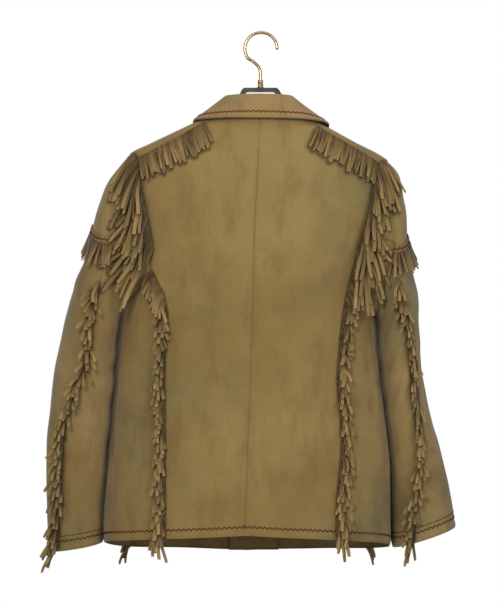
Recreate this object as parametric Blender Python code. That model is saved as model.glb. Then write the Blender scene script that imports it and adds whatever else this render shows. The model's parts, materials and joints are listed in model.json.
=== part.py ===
"""Fringed deerskin jacket on a hanger, seen from behind.

Origin where the rail bears inside the hook, +Z up, the back of the jacket towards +Y.
All sizes below are in millimetres and turned into metres when a mesh is made.
"""
import math

import bpy
import numpy as np
from mathutils import Vector
from mathutils.bvhtree import BVHTree

MM = 0.001

# named sizes
WALL = 2.0
SEAM_GAP = 0.3
COLLAR_WALL = 2.4
STRIP_LIFT = 0.7
STRIP_WIDTH = 4.0
STRIP_THICK = 1.4
STRAND_WIDTH = 3.4
OVERLAP_LEFT = 26.0
OVERLAP_RIGHT = 32.0
UNDERLAP_DROP = 2.8
HOOK_RADIUS = 26.3
WIRE = 2.5

# body of the jacket: height, left edge, right edge, back depth, front depth, squareness
TORSO_COLUMNS = ("z", "left", "right", "back", "front", "square")
TORSO = (
    (-112, 60, -54, 38, -60, 2.1),
    (-122, 68, -62, 41, -62, 2.1),
    (-127, 74, -67, 43, -63, 2.1),
    (-146, 111, -96, 48, -65, 2.15),
    (-157, 134, -117, 51, -67, 2.2),
    (-178, 178, -155, 56, -69, 2.2),
    (-197, 214, -192, 60, -70, 2.25),
    (-209, 219, -207, 63, -72, 2.25),
    (-254, 217, -204, 71, -82, 2.3),
    (-300, 214, -200, 78, -90, 2.3),
    (-400, 216, -186, 85, -95, 2.4),
    (-443, 221, -184, 87, -96, 2.5),
    (-491, 228, -186, 87, -96, 2.5),
    (-564, 234, -193, 88, -96, 2.6),
    (-629, 239, -202, 88, -96, 2.6),
    (-707, 246, -209, 90, -96, 2.6),
    (-825, 254, -211, 92, -97, 2.6),
    (-870, 256, -212, 92, -98, 2.6),
)

# hem height round the body: angle from centre back, left height, right height
HEM = ((0, -805, -805), (45, -815, -817), (90, -828, -834), (135, -846, -848), (180, -854, -854))

# side-back seams: height, angle
SEAM_BACK_LEFT = ((-381, 50.6), (-409, 44.5), (-425, 40.5), (-465, 36.9), (-549, 36.2), (-610, 35.4),
                  (-870, 31.5))
SEAM_BACK_RIGHT = ((-345, 52.1), (-397, 48.3), (-438, 44.9), (-508, 41.2), (-570, 38.4), (-624, 38.3),
                   (-750, 35.3), (-870, 34.5))
SEAM_FRONT = ((-385, 130.0), (-500, 131.0), (-700, 131.0), (-870, 130.0))

# centre back seam: height, x
CENTRE_SEAM = ((-121, 1.5), (-156, 2.7), (-242, 6.7), (-306, 10), (-418, 13.2), (-528, 16.3), (-623, 19.8),
               (-717, 23.4), (-796, 26.4), (-860, 28))

# armhole: angle round the armhole from its top, how far it is cut back, how far forward
ARMHOLE = ((0, 0, 0), (6, 10, 10), (12, 17, 16), (30, 26.8, 25), (58, 29.7, 29), (82, 33.8, 34),
           (105, 38.8, 39), (122, 39.9, 41), (140, 34, 35), (155, 24, 25), (168, 13, 13), (180, 0, 0))
ARM_TOP = {1: -197.0, -1: -209.0}
ARM_LOW = {1: -441.0, -1: -462.0}

# sleeves: outer x, outer z, inner x, inner z, half depth, middle y
SLEEVE = {
    1: ((241, -230, 227, -434, 54, -1), (257.5, -259, 231, -443, 60, -2), (269, -295, 234, -458, 65, -3),
        (284, -360, 236, -492, 68, -5), (301.5, -401, 238, -525, 68, -7), (311, -434, 240, -553, 67, -9),
        (328, -499, 243, -592, 64, -11), (341, -580, 248, -640, 60, -14), (349, -645, 252, -690, 56, -16),
        (352, -711, 255, -737, 52, -18), (351, -760, 257, -775, 49, -20), (349, -808, 258.5, -810, 46, -21),
        (347, -844, 259, -830, 45, -22)),
    -1: ((-223, -228, -191, -451, 54, -1), (-231.5, -262, -194, -459, 60, -2),
         (-236, -290, -196, -473, 65, -3), (-238, -331, -197, -495, 68, -4), (-244, -372, -198, -520, 69, -6),
         (-255, -420, -200, -552, 68, -8), (-258, -470, -203, -585, 66, -10), (-260, -520, -207, -622, 63, -12),
         (-266, -570, -211, -660, 60, -14), (-280, -629, -214, -703, 56, -16), (-293, -675, -215.5, -740, 53, -18),
         (-303, -716, -216, -773, 50, -20), (-314, -772, -216, -812, 47, -21), (-319.5, -804, -215.5, -838, 45, -22)),
}
# back seam of each sleeve: height, angle round the sleeve from its outer edge
SLEEVE_SEAM = {
    1: ((-300, 90), (-417, 90), (-522, 99), (-574, 88), (-613, 78), (-662, 71), (-727, 71), (-792, 63), (-841, 55)),
    -1: ((-300, 88), (-400, 84), (-442, 79), (-495, 70), (-540, 63), (-597, 61), (-645, 66), (-694, 81), (-743, 100),
         (-792, 111), (-841, 115)),
}

# root line of the shoulder fringes on the back: share of the line, x, height
SHOULDER_LINE = {
    1: ((0.0, 90.0, -148.0), (0.5, 138.0, -176.0), (1.0, 180.0, -198.0)),
    -1: ((0.0, -90.0, -155.0), (0.5, -132.0, -180.0), (1.0, -171.0, -203.0)),
}

# collar: angle, stand leans in, stand rises, fall goes out, fall goes down
COLLAR_LEFT = ((0, 0, 15, 16, 21), (45, 4, 15, 26, 20), (90, 12, 16, 43, 20), (130, 8, 15, 36, 46),
               (160, 4, 14, 18, 66), (172, 2, 13, 12, 54))
COLLAR_RIGHT = ((0, 0, 15, 16, 21), (45, 4, 15, 26, 21), (90, 12, 14, 50, 27), (130, 8, 15, 38, 46),
                (160, 4, 14, 18, 66), (172, 2, 13, 12, 54))

COLOURS = {
    "deerskin": (0.265, 0.187, 0.075, 1.0),
    "fringe": (0.31, 0.225, 0.10, 1.0),
    "facing": (0.30, 0.22, 0.12, 1.0),
    "brass": (0.66, 0.48, 0.24, 1.0),
    "hanger": (0.045, 0.023, 0.012, 1.0),
    "button": (0.10, 0.06, 0.03, 1.0),
}


def clear_scene():
    """Remove every object that is there at the start."""
    for item in list(bpy.data.objects):
        bpy.data.objects.remove(item, do_unlink=True)


def smooth_table(rows, value, column):
    """Read one column of a table at a value with a monotone cubic curve."""
    data = sorted(rows, key=lambda row: row[0])
    xs = [row[0] for row in data]
    ys = [row[column] for row in data]
    if value <= xs[0]:
        return ys[0]
    if value >= xs[-1]:
        return ys[-1]
    k = max(i for i in range(len(xs) - 1) if xs[i] <= value)
    step = [xs[i + 1] - xs[i] for i in range(len(xs) - 1)]
    rate = [(ys[i + 1] - ys[i]) / step[i] for i in range(len(xs) - 1)]

    def slope(i):
        if i == 0:
            return rate[0]
        if i == len(xs) - 1:
            return rate[-1]
        if rate[i - 1] * rate[i] <= 0:
            return 0.0
        return 2.0 * rate[i - 1] * rate[i] / (rate[i - 1] + rate[i])

    t = (value - xs[k]) / step[k]
    a, b = slope(k) * step[k], slope(k + 1) * step[k]
    return ((2 * t ** 3 - 3 * t ** 2 + 1) * ys[k] + (t ** 3 - 2 * t ** 2 + t) * a
            + (-2 * t ** 3 + 3 * t ** 2) * ys[k + 1] + (t ** 3 - t ** 2) * b)


def unit(v):
    """Vector of length one."""
    return v / max(np.linalg.norm(v), 1e-12)


def ease(t):
    """Smooth step from 0 to 1."""
    t = min(max(t, 0.0), 1.0)
    return t * t * (3.0 - 2.0 * t)


def wrap(angle):
    """Angle from centre back without its sign, 0 to 180."""
    angle = abs(angle) % 360.0
    return 360.0 - angle if angle > 180.0 else angle


def fold_height(angle, z):
    """Soft upright folds of the body, deeper towards the hem."""
    depth = 2.6 * ease((-300.0 - z) / 450.0)
    turn = math.radians(angle)
    return depth * (0.6 * math.cos(7 * turn + 0.6) + 0.4 * math.cos(11 * turn + 2.0))


def torso(angle, z):
    """Point on the outside of the body; the angle runs from centre back over the left side."""
    left, right, back, front, square = (smooth_table(TORSO, z, c) for c in range(1, 6))
    middle, half = (left + right) / 2.0, (left - right) / 2.0
    s, c = math.sin(math.radians(angle)), math.cos(math.radians(angle))
    depth = back if c >= 0 else -front
    r = (abs(s) ** square + abs(c) ** square) ** (-1.0 / square)
    out = unit(np.array([s / half, c / depth, 0.0]))
    return np.array([middle + half * r * s, depth * r * c, z]) + out * fold_height(angle, z)


def torso_frame(angle, z, drop=0.0):
    """Point and outward normal of the body."""
    da = torso(angle + 0.4, z) - torso(angle - 0.4, z)
    dz = torso(angle, z + 0.8) - torso(angle, z - 0.8)
    normal = unit(np.cross(dz, da))
    p = torso(angle, z)
    middle = torso(90, z)[0] / 2 + torso(-90, z)[0] / 2
    if np.dot(normal, p - np.array([middle, 0, z])) < 0:
        normal = -normal
    return p + normal * drop, normal


def back_angle(side, x, z):
    """Angle from centre back, without its sign, of the point of the back at x and z."""
    low, high = 0.0, 90.0
    for _ in range(30):
        middle = (low + high) / 2.0
        if torso(side * middle, z)[0] * side < x * side:
            low = middle
        else:
            high = middle
    return low


def neckline(angle):
    """Height of the neck edge."""
    a = wrap(angle)
    return -121.0 if a <= 90 else -121.0 - 64.0 * ((a - 90.0) / 90.0) ** 1.5


def hem(angle):
    """Height of the hem round the body."""
    signed = (angle + 180.0) % 360.0 - 180.0
    side = ease((signed + 30) / 60.0) if abs(signed) < 90 else (1.0 if signed > 0 else 0.0)
    if abs(signed) > 150:
        edge = ease((180 - abs(signed)) / 30.0) * 0.5
        side = 0.5 + edge if signed > 0 else 0.5 - edge
    a = wrap(angle)
    return side * smooth_table(HEM, a, 1) + (1 - side) * smooth_table(HEM, a, 2)


def armhole_edge(side, turn):
    """Angle and height of the armhole seam; turn 0 is its top, 90 the back, 270 the front."""
    middle = (ARM_TOP[side] + ARM_LOW[side]) / 2.0
    half = (ARM_TOP[side] - ARM_LOW[side]) / 2.0
    turn = turn % 360.0
    z = middle + half * math.cos(math.radians(turn))
    if turn <= 180:
        return side * (90.0 - smooth_table(ARMHOLE, turn, 1)), z
    return side * (90.0 + smooth_table(ARMHOLE, 360.0 - turn, 2)), z


def armhole_turn(side, z):
    """Turn round the armhole at a height."""
    middle = (ARM_TOP[side] + ARM_LOW[side]) / 2.0
    half = (ARM_TOP[side] - ARM_LOW[side]) / 2.0
    return math.degrees(math.acos(min(1.0, max(-1.0, (z - middle) / half))))


SEAM_BACK = {1: SEAM_BACK_LEFT, -1: SEAM_BACK_RIGHT}


def centre_back(z):
    """Angle of the centre back seam at a height."""
    left, right = smooth_table(TORSO, z, 1), smooth_table(TORSO, z, 2)
    across = (smooth_table(CENTRE_SEAM, z, 1) - (left + right) / 2.0) / ((left - right) / 2.0)
    return math.degrees(math.atan(across))


def seam_start(side, column):
    """Height at which the side seam leaves the armhole."""
    if column == 1:
        return -381.0 if side > 0 else -345.0
    return -385.0


def outer_angle(side, z, column):
    """Outer limit of a back (column 1) or front (column 2) panel at a height."""
    if z >= ARM_TOP[side]:
        return side * 90.0
    start = seam_start(side, column)
    if z >= start:
        turn = armhole_turn(side, z)
        return armhole_edge(side, turn if column == 1 else 360.0 - turn)[0]
    top = armhole_edge(side, armhole_turn(side, start) if column == 1 else 360 - armhole_turn(side, start))[0]
    rows = SEAM_BACK[side] if column == 1 else SEAM_FRONT
    return side * smooth_table(rows, z, 1) + (top - side * smooth_table(rows, start, 1)) * ease(
        1 - (start - z) / 60.0)


def ring_point(side, k, turn):
    """Point of a sleeve ring; ring 0 is the armhole."""
    if k == 0:
        return torso(*armhole_edge(side, turn))
    ox, oz, ix, iz, depth, y = SLEEVE[side][k - 1]
    middle = np.array([(ox + ix) / 2.0, y, (oz + iz) / 2.0])
    across = np.array([(ox - ix) / 2.0, 0.0, (oz - iz) / 2.0])
    s, c = math.sin(math.radians(turn)), math.cos(math.radians(turn))
    r = (abs(s) ** 2.15 + abs(c) ** 2.15) ** (-1.0 / 2.15)
    return middle + across * (r * c) + np.array([0.0, depth * r * s, 0.0])


def sleeve_length(side):
    """Number of the last ring."""
    return len(SLEEVE[side])


def sleeve(side, s, turn):
    """Point on the outside of a sleeve at ring number s."""
    last = sleeve_length(side)
    k = min(int(math.floor(s)), last - 1)
    t = s - k
    b, c = ring_point(side, k, turn), ring_point(side, k + 1, turn)
    a = ring_point(side, k - 1, turn) if k > 0 else b - (c - b) * 0.6
    d = ring_point(side, k + 2, turn) if k + 2 <= last else c + (c - b)
    m0, m1 = (c - a) / 2.0, (d - b) / 2.0
    p = ((2 * t ** 3 - 3 * t ** 2 + 1) * b + (t ** 3 - 2 * t ** 2 + t) * m0
         + (-2 * t ** 3 + 3 * t ** 2) * c + (t ** 3 - t ** 2) * m1)
    return p


def sleeve_frame(side, s, turn):
    """Point and outward normal of a sleeve."""
    last = sleeve_length(side)
    lo, hi = max(s - 0.04, 0.0), min(s + 0.04, last)
    ds = sleeve(side, hi, turn) - sleeve(side, lo, turn)
    dt = sleeve(side, s, turn + 1.0) - sleeve(side, s, turn - 1.0)
    normal = unit(np.cross(ds, dt))
    p = sleeve(side, s, turn)
    k = max(1, min(last, int(round(s))))
    ox, oz, ix, iz, _, y = SLEEVE[side][k - 1]
    if s >= 0.5:
        middle = np.array([(ox + ix) / 2.0, y, (oz + iz) / 2.0])
        if np.dot(normal, p - middle) < 0:
            normal = -normal
    else:
        ahead = sleeve_frame(side, 0.6, turn)[1]
        if np.dot(normal, ahead) < 0:
            normal = -normal
    return p, normal


def material(name):
    """Principled material of one sub-part."""
    made = bpy.data.materials.new(name)
    made.use_nodes = True
    shader = made.node_tree.nodes["Principled BSDF"]
    kind = name.split("__")[0]
    shader.inputs["Base Color"].default_value = COLOURS[kind]
    shader.inputs["Roughness"].default_value = 0.35 if kind in ("brass", "hanger") else 0.85
    shader.inputs["Metallic"].default_value = 1.0 if kind == "brass" else 0.0
    made.diffuse_color = COLOURS[kind]
    return made


def split_quads(verts, faces):
    """Cut every four-sided face along its shorter diagonal."""
    cut = []
    for f in faces:
        if len(f) != 4:
            cut.append(tuple(f))
            continue
        a, b, c, d = (np.array(verts[i], dtype=float) for i in f)
        if np.linalg.norm(c - a) <= np.linalg.norm(d - b) + 1e-6:
            cut += [(f[0], f[1], f[2]), (f[0], f[2], f[3])]
        else:
            cut += [(f[0], f[1], f[3]), (f[1], f[2], f[3])]
    return cut


def add_mesh(name, verts, faces, kind):
    """Turn millimetre points and faces into a named object."""
    faces = split_quads(verts, faces)
    mesh = bpy.data.meshes.new(name)
    mesh.from_pydata([tuple(float(c) * MM for c in v) for v in verts], [], [list(f) for f in faces])
    mesh.validate()
    signed = 0.0
    mesh.calc_loop_triangles()
    for tri in mesh.loop_triangles:
        a, b, c = (mesh.vertices[i].co for i in tri.vertices)
        signed += a.dot(b.cross(c))
    if signed < 0:
        mesh.flip_normals()
    mesh.materials.append(material(kind + "__" + name))
    made = bpy.data.objects.new(name, mesh)
    bpy.context.scene.collection.objects.link(made)
    return made


def wall_mesh(outer, inner):
    """Closed sheet between two grids of points."""
    rows, cols = len(outer), len(outer[0])
    verts = [p for row in outer for p in row] + [p for row in inner for p in row]
    shift = rows * cols
    faces = []
    for j in range(rows - 1):
        for i in range(cols - 1):
            a, b = j * cols + i, (j + 1) * cols + i
            faces.append((a, a + 1, b + 1, b))
            faces.append((a + shift, b + shift, b + 1 + shift, a + 1 + shift))
    rim = ([(j, 0) for j in range(rows)] + [(rows - 1, i) for i in range(1, cols)]
           + [(j, cols - 1) for j in range(rows - 2, -1, -1)] + [(0, i) for i in range(cols - 2, 0, -1)])
    ids = [j * cols + i for j, i in rim]
    for k, a in enumerate(ids):
        b = ids[(k + 1) % len(ids)]
        rank_a, rank_b = (float(np.dot(verts[i], (0.13, 0.31, 1.0))) for i in (a, b))
        if rank_a < rank_b:
            faces += [(a, b, b + shift), (a, b + shift, a + shift)]
        else:
            faces += [(a, b, a + shift), (b, b + shift, a + shift)]
    return verts, faces


OUTSIDES = {}


def sheet(name, outer, normals, wall, kind, gaps, inward=None):
    """Make one cloth piece from a grid of outer points.

    gaps holds how far the piece stays back at the first and last column and row.
    """
    outer = [[np.array(p, dtype=float) for p in row] for row in outer]
    inner = [[outer[j][i] - normals[j][i] * wall for i in range(len(outer[0]))] for j in range(len(outer))]
    if inward is not None:
        inner[0] = [outer[0][i] + inward[i] * wall for i in range(len(outer[0]))]
    for grid in (outer, inner):
        rows, cols = len(grid), len(grid[0])

        def back_from(j, i, dj, di, gap):
            """Corner moved away from its edge, square to that edge."""
            inside = unit(grid[j + dj][i + di] - grid[j][i])
            if di:
                edge = grid[min(j + 1, rows - 1)][i] - grid[max(j - 1, 0)][i]
            else:
                edge = grid[j][min(i + 1, cols - 1)] - grid[j][max(i - 1, 0)]
            edge = unit(edge)
            return grid[j][i] + unit(inside - edge * np.dot(inside, edge)) * gap

        firsts = [back_from(j, 0, 0, 1, gaps[0]) for j in range(rows)]
        lasts = [back_from(j, cols - 1, 0, -1, gaps[1]) for j in range(rows)]
        for j in range(rows):
            grid[j][0], grid[j][-1] = firsts[j], lasts[j]
        first = [back_from(0, i, 1, 0, gaps[2]) for i in range(cols)]
        last = [back_from(rows - 1, i, -1, 0, gaps[3]) for i in range(cols)]
        grid[0], grid[-1] = first, last
    verts, faces = wall_mesh(outer, inner)
    cols = len(outer[0])
    OUTSIDES[name] = ([tuple(p) for row in outer for p in row],
                      [(j * cols + i, j * cols + i + 1, (j + 1) * cols + i + 1, (j + 1) * cols + i)
                       for j in range(len(outer) - 1) for i in range(cols - 1)])
    return add_mesh(name, verts, faces, kind)


# turns of the armhole at which panels and sleeve share their corners, from the top down
ARM_TURNS = (0.0, 10.0, 20.0, 34.0, 52.0, 70.0, 90.0, 106.0)
ARM_TURNS_BACK_RIGHT = (0.0, 10.0, 20.0, 34.0, 48.0, 62.0, 76.0, 90.0)
SEAM_STEPS = 9
UNDER_STEPS = 6


def arm_turns(side, column):
    """Turns that lie above the start of a side seam, from the top down."""
    return list(ARM_TURNS_BACK_RIGHT if side < 0 and column == 1 else ARM_TURNS)


def under_turns(side):
    """Turns of the armhole along the top of the side panel, back to front."""
    first = armhole_turn(side, seam_start(side, 1))
    last = 360.0 - armhole_turn(side, seam_start(side, 2))
    return [first + (last - first) * k / UNDER_STEPS for k in range(UNDER_STEPS + 1)]


def panel_rows(side, column, centre_low, centre_top):
    """Heights of the rows at the outer edge and the centre edge of a back or front panel."""
    top = ARM_TOP[side]
    start = seam_start(side, column)
    low = hem(outer_angle(side, -830, column))
    steps = SEAM_STEPS
    outer = [low + (start - low) * k / steps for k in range(steps + 1)]
    turns = arm_turns(side, column)
    outer += [armhole_edge(side, turn)[1] for turn in reversed(turns)]
    outer += [top + (-121 - top) * t for t in (0.17, 0.33, 0.5, 0.67, 0.83, 1.0)]
    knee, crown = (0.62, 0.895) if column == 1 else (0.64, 0.955)
    share = [knee * k / steps for k in range(steps + 1)]
    share += [knee + (crown - knee) * k / len(turns) for k in range(1, len(turns) + 1)]
    share += [crown + (1.0 - crown) * k / 6.0 for k in range(1, 7)]
    centre = [centre_low + (centre_top - centre_low) * t for t in share]
    return outer, centre


def main_panel(name, side, column, centre_angle, columns, layer):
    """Back or front panel from its outer seam to the centre edge."""
    centre_low = hem(centre_angle(-850))
    centre_top = neckline(centre_angle(-190 if column == 2 else -121))
    outer_z, centre_z = panel_rows(side, column, centre_low, centre_top)
    count = len(outer_z)
    grid, normals = [], []
    for j in range(count):
        v = j / (count - 1.0)
        a0, a1 = outer_angle(side, outer_z[j], column), centre_angle(centre_z[j])
        row, up = [], []
        for i in range(columns + 1):
            u = i / float(columns)
            a = a0 + (a1 - a0) * u
            z = outer_z[j] + (centre_z[j] - outer_z[j]) * u ** 2
            t0, t1 = outer_angle(side, outer_z[-1], column), centre_angle(centre_z[-1])
            b0, b1 = outer_angle(side, outer_z[0], column), centre_angle(centre_z[0])
            top_fix = neckline(t0 + (t1 - t0) * u) - (outer_z[-1] + (centre_z[-1] - outer_z[-1]) * u ** 2)
            low_fix = hem(b0 + (b1 - b0) * u) - (outer_z[0] + (centre_z[0] - outer_z[0]) * u ** 2)
            z += top_fix * v ** 5 + low_fix * (1 - v) ** 5
            p, n = torso_frame(a, z)
            row.append(p + n * layer(a))
            up.append(n)
        grid.append(row)
        normals.append(up)
    half = SEAM_GAP / 2.0
    return sheet(name, grid, normals, WALL, "deerskin", (half, half, 0.0, half))


def side_panel(name, side, columns):
    """Panel under the arm between the two side seams."""
    turns = under_turns(side)
    corner_back, corner_front = seam_start(side, 1), seam_start(side, 2)
    low_back, low_front = hem(outer_angle(side, -830, 1)), hem(outer_angle(side, -830, 2))
    count = SEAM_STEPS
    grid, normals = [], []
    for j in range(count + 1):
        v = j / float(count)
        zb, zf = low_back + (corner_back - low_back) * v, low_front + (corner_front - low_front) * v
        ab, af = outer_angle(side, zb, 1), outer_angle(side, zf, 2)
        row, up = [], []
        for i in range(columns + 1):
            u = i / float(columns)
            a_top, z_top = armhole_edge(side, turns[i])
            a_low = outer_angle(side, low_back, 1) + (outer_angle(side, low_front, 2)
                                                      - outer_angle(side, low_back, 1)) * u
            a = ab + (af - ab) * u
            if j == count:
                a = a_top
            else:
                lin_top = outer_angle(side, corner_back, 1) * (1 - u) + outer_angle(side, corner_front, 2) * u
                a += (a_top - lin_top) * v ** 4
            z = hem(a_low) + (z_top - hem(a_low)) * v
            p, n = torso_frame(a, z)
            row.append(p)
            up.append(n)
        grid.append(row)
        normals.append(up)
    half = SEAM_GAP / 2.0
    return sheet(name, grid, normals, WALL, "deerskin", (half, half, 0.0, half))


def sleeve_half(name, side, turns, first, first_gap):
    """One half of a sleeve between two lines of turns; first holds its turns at the armhole."""
    last = sleeve_length(side)
    stations = [0.0, 0.4, 1.0, 1.5, 2.0] + [float(k) for k in range(3, last + 1)]
    columns = len(first) - 1
    grid, normals, inward = [], [], []
    for s in stations:
        t0, t1 = turns(s)
        spread = ease(s / 2.0)
        row, up = [], []
        for i in range(columns + 1):
            share = (first[i] - first[0]) / (first[-1] - first[0])
            share = share * (1 - spread) + spread * i / columns
            turn = t0 + (t1 - t0) * share
            p, n = sleeve_frame(side, s, turn)
            row.append(p)
            up.append(n)
            if s == 0.0:
                a, z = armhole_edge(side, turn)
                body = torso_frame(a, z)[1]
                share = ease((math.cos(math.radians(turn)) - 0.2) / 0.6)
                ahead = sleeve_frame(side, 0.4, turn)[1]
                inward.append(unit(-body * (0.5 + 0.5 * share) - ahead * (0.5 - 0.5 * share)))
        grid.append(row)
        normals.append(up)
    half = SEAM_GAP / 2.0
    return sheet(name, grid, normals, WALL, "deerskin", (half, half, first_gap, 0.0), inward)


def seam_turn(side, s):
    """Turn of the back seam of a sleeve at ring number s."""
    z = sleeve(side, s, 90.0)[2]
    return 90.0 + (smooth_table(SLEEVE_SEAM[side], z, 1) - 90.0) * ease(s / 3.0)


def cloth_tree(items):
    """Search tree of the outside of finished cloth, in millimetres."""
    verts, faces = [], []
    for item in items:
        shift = len(verts)
        if item.name in OUTSIDES:
            points, quads = OUTSIDES[item.name]
        else:
            points = [tuple(c / MM for c in v.co) for v in item.data.vertices]
            quads = [tuple(poly.vertices) for poly in item.data.polygons]
        verts += points
        faces += [tuple(i + shift for i in quad) for quad in quads]
    return BVHTree.FromPolygons(verts, faces)


def keep_off(tree, p, clear, hint):
    """Move a point out until it is clear of the cloth."""
    for _ in range(3):
        found = tree.find_nearest(Vector(p))
        if found[0] is None:
            return p
        hit, normal = np.array(found[0]), np.array(found[1])
        if np.dot(normal, hint) < 0:
            normal = -normal
        gap = np.dot(p - hit, normal)
        if gap >= clear:
            return p
        p = p + normal * (clear - gap)
    return p


def comb(name, stations, strands, kind="fringe"):
    """Fringe: a narrow strip with strands that leave its lower edge.

    stations holds (point, along the cloth towards the strands, outward normal) two per strand plus
    the ends; strands holds for each strand its list of centre points, widths and thicknesses.
    """
    verts, faces = [], []
    for p, down, out in stations:
        low, high = p + out * STRIP_LIFT, p + out * (STRIP_LIFT + STRIP_THICK)
        verts += [low, high, high + down * STRIP_WIDTH, low + down * STRIP_WIDTH]
    count = len(stations)
    for k in range(count - 1):
        a, b = 4 * k, 4 * (k + 1)
        rooted = k % 2 == 1 and (k - 1) // 2 < len(strands)
        for e in range(4):
            f = (e + 1) % 4
            if e == 2 and rooted:
                continue
            faces.append((a + e, a + f, b + f, b + e))
    faces.append((3, 2, 1, 0))
    faces.append(tuple(4 * (count - 1) + e for e in range(4)))
    for index, (centres, widths, thicks, along, outs) in enumerate(strands):
        k = 2 * index + 1
        previous = [4 * k + 2, 4 * k + 3, 4 * (k + 1) + 3, 4 * (k + 1) + 2]
        for c, w, t, o in zip(centres, widths, thicks, outs):
            base = len(verts)
            verts += [c - along * (w / 2) + o * (t / 2), c - along * (w / 2) - o * (t / 2),
                      c + along * (w / 2) - o * (t / 2), c + along * (w / 2) + o * (t / 2)]
            ring = [base, base + 1, base + 2, base + 3]
            for e in range(4):
                f = (e + 1) % 4
                faces.append((previous[e], previous[f], ring[f], ring[e]))
            previous = ring
        faces.append(tuple(previous))
    return add_mesh(name, verts, faces, kind)


def station_raise(tree, p, down, out):
    """How far a strip must rise at a point to clear the cloth."""
    need = 0.0
    for step in (0.0, 0.5, 1.0):
        q = p + down * STRIP_WIDTH * step + out * STRIP_LIFT
        moved = keep_off(tree, q, 0.6, out)
        need = max(need, float(np.dot(moved - q, out)))
    return need


def make_fringe(name, frame, count, width, shape, tree, clear, segments):
    """Lay a comb along a path.

    frame gives (point, normal) at a share of the path, shape gives for a share the strand's length,
    its start and end direction and its lift; strands keep off the cloth in the tree.
    """
    samples = [frame(t / 200.0)[0] for t in range(201)]
    run = [0.0]
    for a, b in zip(samples, samples[1:]):
        run.append(run[-1] + np.linalg.norm(b - a))
    total = run[-1]
    pitch = (total - width) / max(count - 1, 1)
    marks = [-1.0]
    for i in range(count):
        marks += [width / 2 + i * pitch - width / 2, width / 2 + i * pitch + width / 2]
    marks.append(total + 1.0)
    marks[0], marks[-1] = -0.8, total + 0.8
    stations, info = [], []
    for mark in marks:
        t = float(np.interp(mark, run, [k / 200.0 for k in range(201)]))
        p, n = frame(t)
        ahead, behind = frame(min(t + 0.004, 1.0))[0], frame(max(t - 0.004, 0.0))[0]
        along = unit(ahead - behind)
        if mark < 0:
            p = p + along * mark
        if mark > total:
            p = p + along * (mark - total)
        side = unit(np.cross(n, along))
        if np.dot(side, shape(t)["start"]) < 0:
            side = -side
        stations.append((p, side, n))
        info.append((t, along))
    raise_by = [station_raise(tree, *station) for station in stations]
    for k, (p, side, n) in enumerate(stations):
        up = max(raise_by[max(k - 1, 0):k + 2])
        stations[k] = (p + n * up, side, n)
    strands = []
    for i in range(count):
        k = 2 * i + 1
        p = (stations[k][0] + stations[k + 1][0]) / 2.0
        side, n = unit(stations[k][1] + stations[k + 1][1]), unit(stations[k][2] + stations[k + 1][2])
        t = (info[k][0] + info[k + 1][0]) / 2.0
        along = unit(info[k][1] + info[k + 1][1])
        want = shape(t)
        at = p + side * STRIP_WIDTH + n * (STRIP_LIFT + STRIP_THICK / 2.0)
        base = at.copy()
        centres, widths, thicks, outs = [], [], [], []
        for g in range(1, segments + 1):
            h = g / float(segments)
            go = unit(want["start"] * (1 - h ** 0.8) + want["end"] * h ** 0.8)
            at = at + go * want["length"] / segments
            q = at + n * want["lift"] * h ** 1.2
            q = keep_off(tree, q, clear, n)
            before = centres[-1] if centres else base
            for share in (0.75, 0.5, 0.3):
                mid = before + (q - before) * share
                q = q + (keep_off(tree, mid, clear - 0.4, n) - mid) / share
            centres.append(q)
            widths.append(width * (1.0 - 0.35 * h))
            thicks.append(STRIP_THICK * (1.0 - 0.2 * h))
            outs.append(n)
        across = unit(np.cross(n, unit(centres[-1] - base)))
        if np.dot(across, along) < 0:
            across = -across
        mix = unit(along * 0.35 + across * 0.65)
        strands.append((centres, widths, thicks, mix, outs))
    return comb(name, stations, strands)


def collar(tree):
    """Folded collar round the neck: stand, fold and fall in one wall."""
    angles = [-172 + 344.0 * k / 34 for k in range(35)]
    outer, normals = [], []
    for a in angles:
        rows = COLLAR_LEFT if a >= 0 else COLLAR_RIGHT
        lean, rise, out, down = (smooth_table(rows, abs(a), c) for c in range(1, 5))
        base, n = torso_frame(a, neckline(a))
        away = unit(np.array([math.sin(math.radians(a)), math.cos(math.radians(a)) * 0.9, 0.0]))
        up = np.array([0.0, 0.0, 1.0])
        foot = base + up * 1.2 - n * 1.0
        fold = foot - away * lean + up * rise
        edge = base + away * out - up * down
        points = [foot, foot * 0.5 + fold * 0.5 - away * 0.6, fold - away * 0.8,
                  fold + away * 1.8 + up * 2.0, fold + away * 5.2 + up * 0.6]
        start = points[-1]
        for h in (0.25, 0.5, 0.75, 1.0):
            q = start + (edge - start) * h
            points.append(keep_off(tree, q, 4.2, away * 0.5 + up * 0.5))
        outer.append(points)
    sides = []
    for i, points in enumerate(outer):
        row = []
        ahead = outer[min(i + 1, 34)]
        behind = outer[max(i - 1, 0)]
        for k, p in enumerate(points):
            run = points[min(k + 1, len(points) - 1)] - points[max(k - 1, 0)]
            round_ = ahead[k] - behind[k]
            row.append(unit(np.cross(run, round_)))
        sides.append(row)
    grid = [[p + n * COLLAR_WALL / 2 for p, n in zip(points, row)] for points, row in zip(outer, sides)]
    return sheet("collar", grid, sides, COLLAR_WALL, "deerskin", (0.0, 0.0, 0.0, 0.0))


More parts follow.
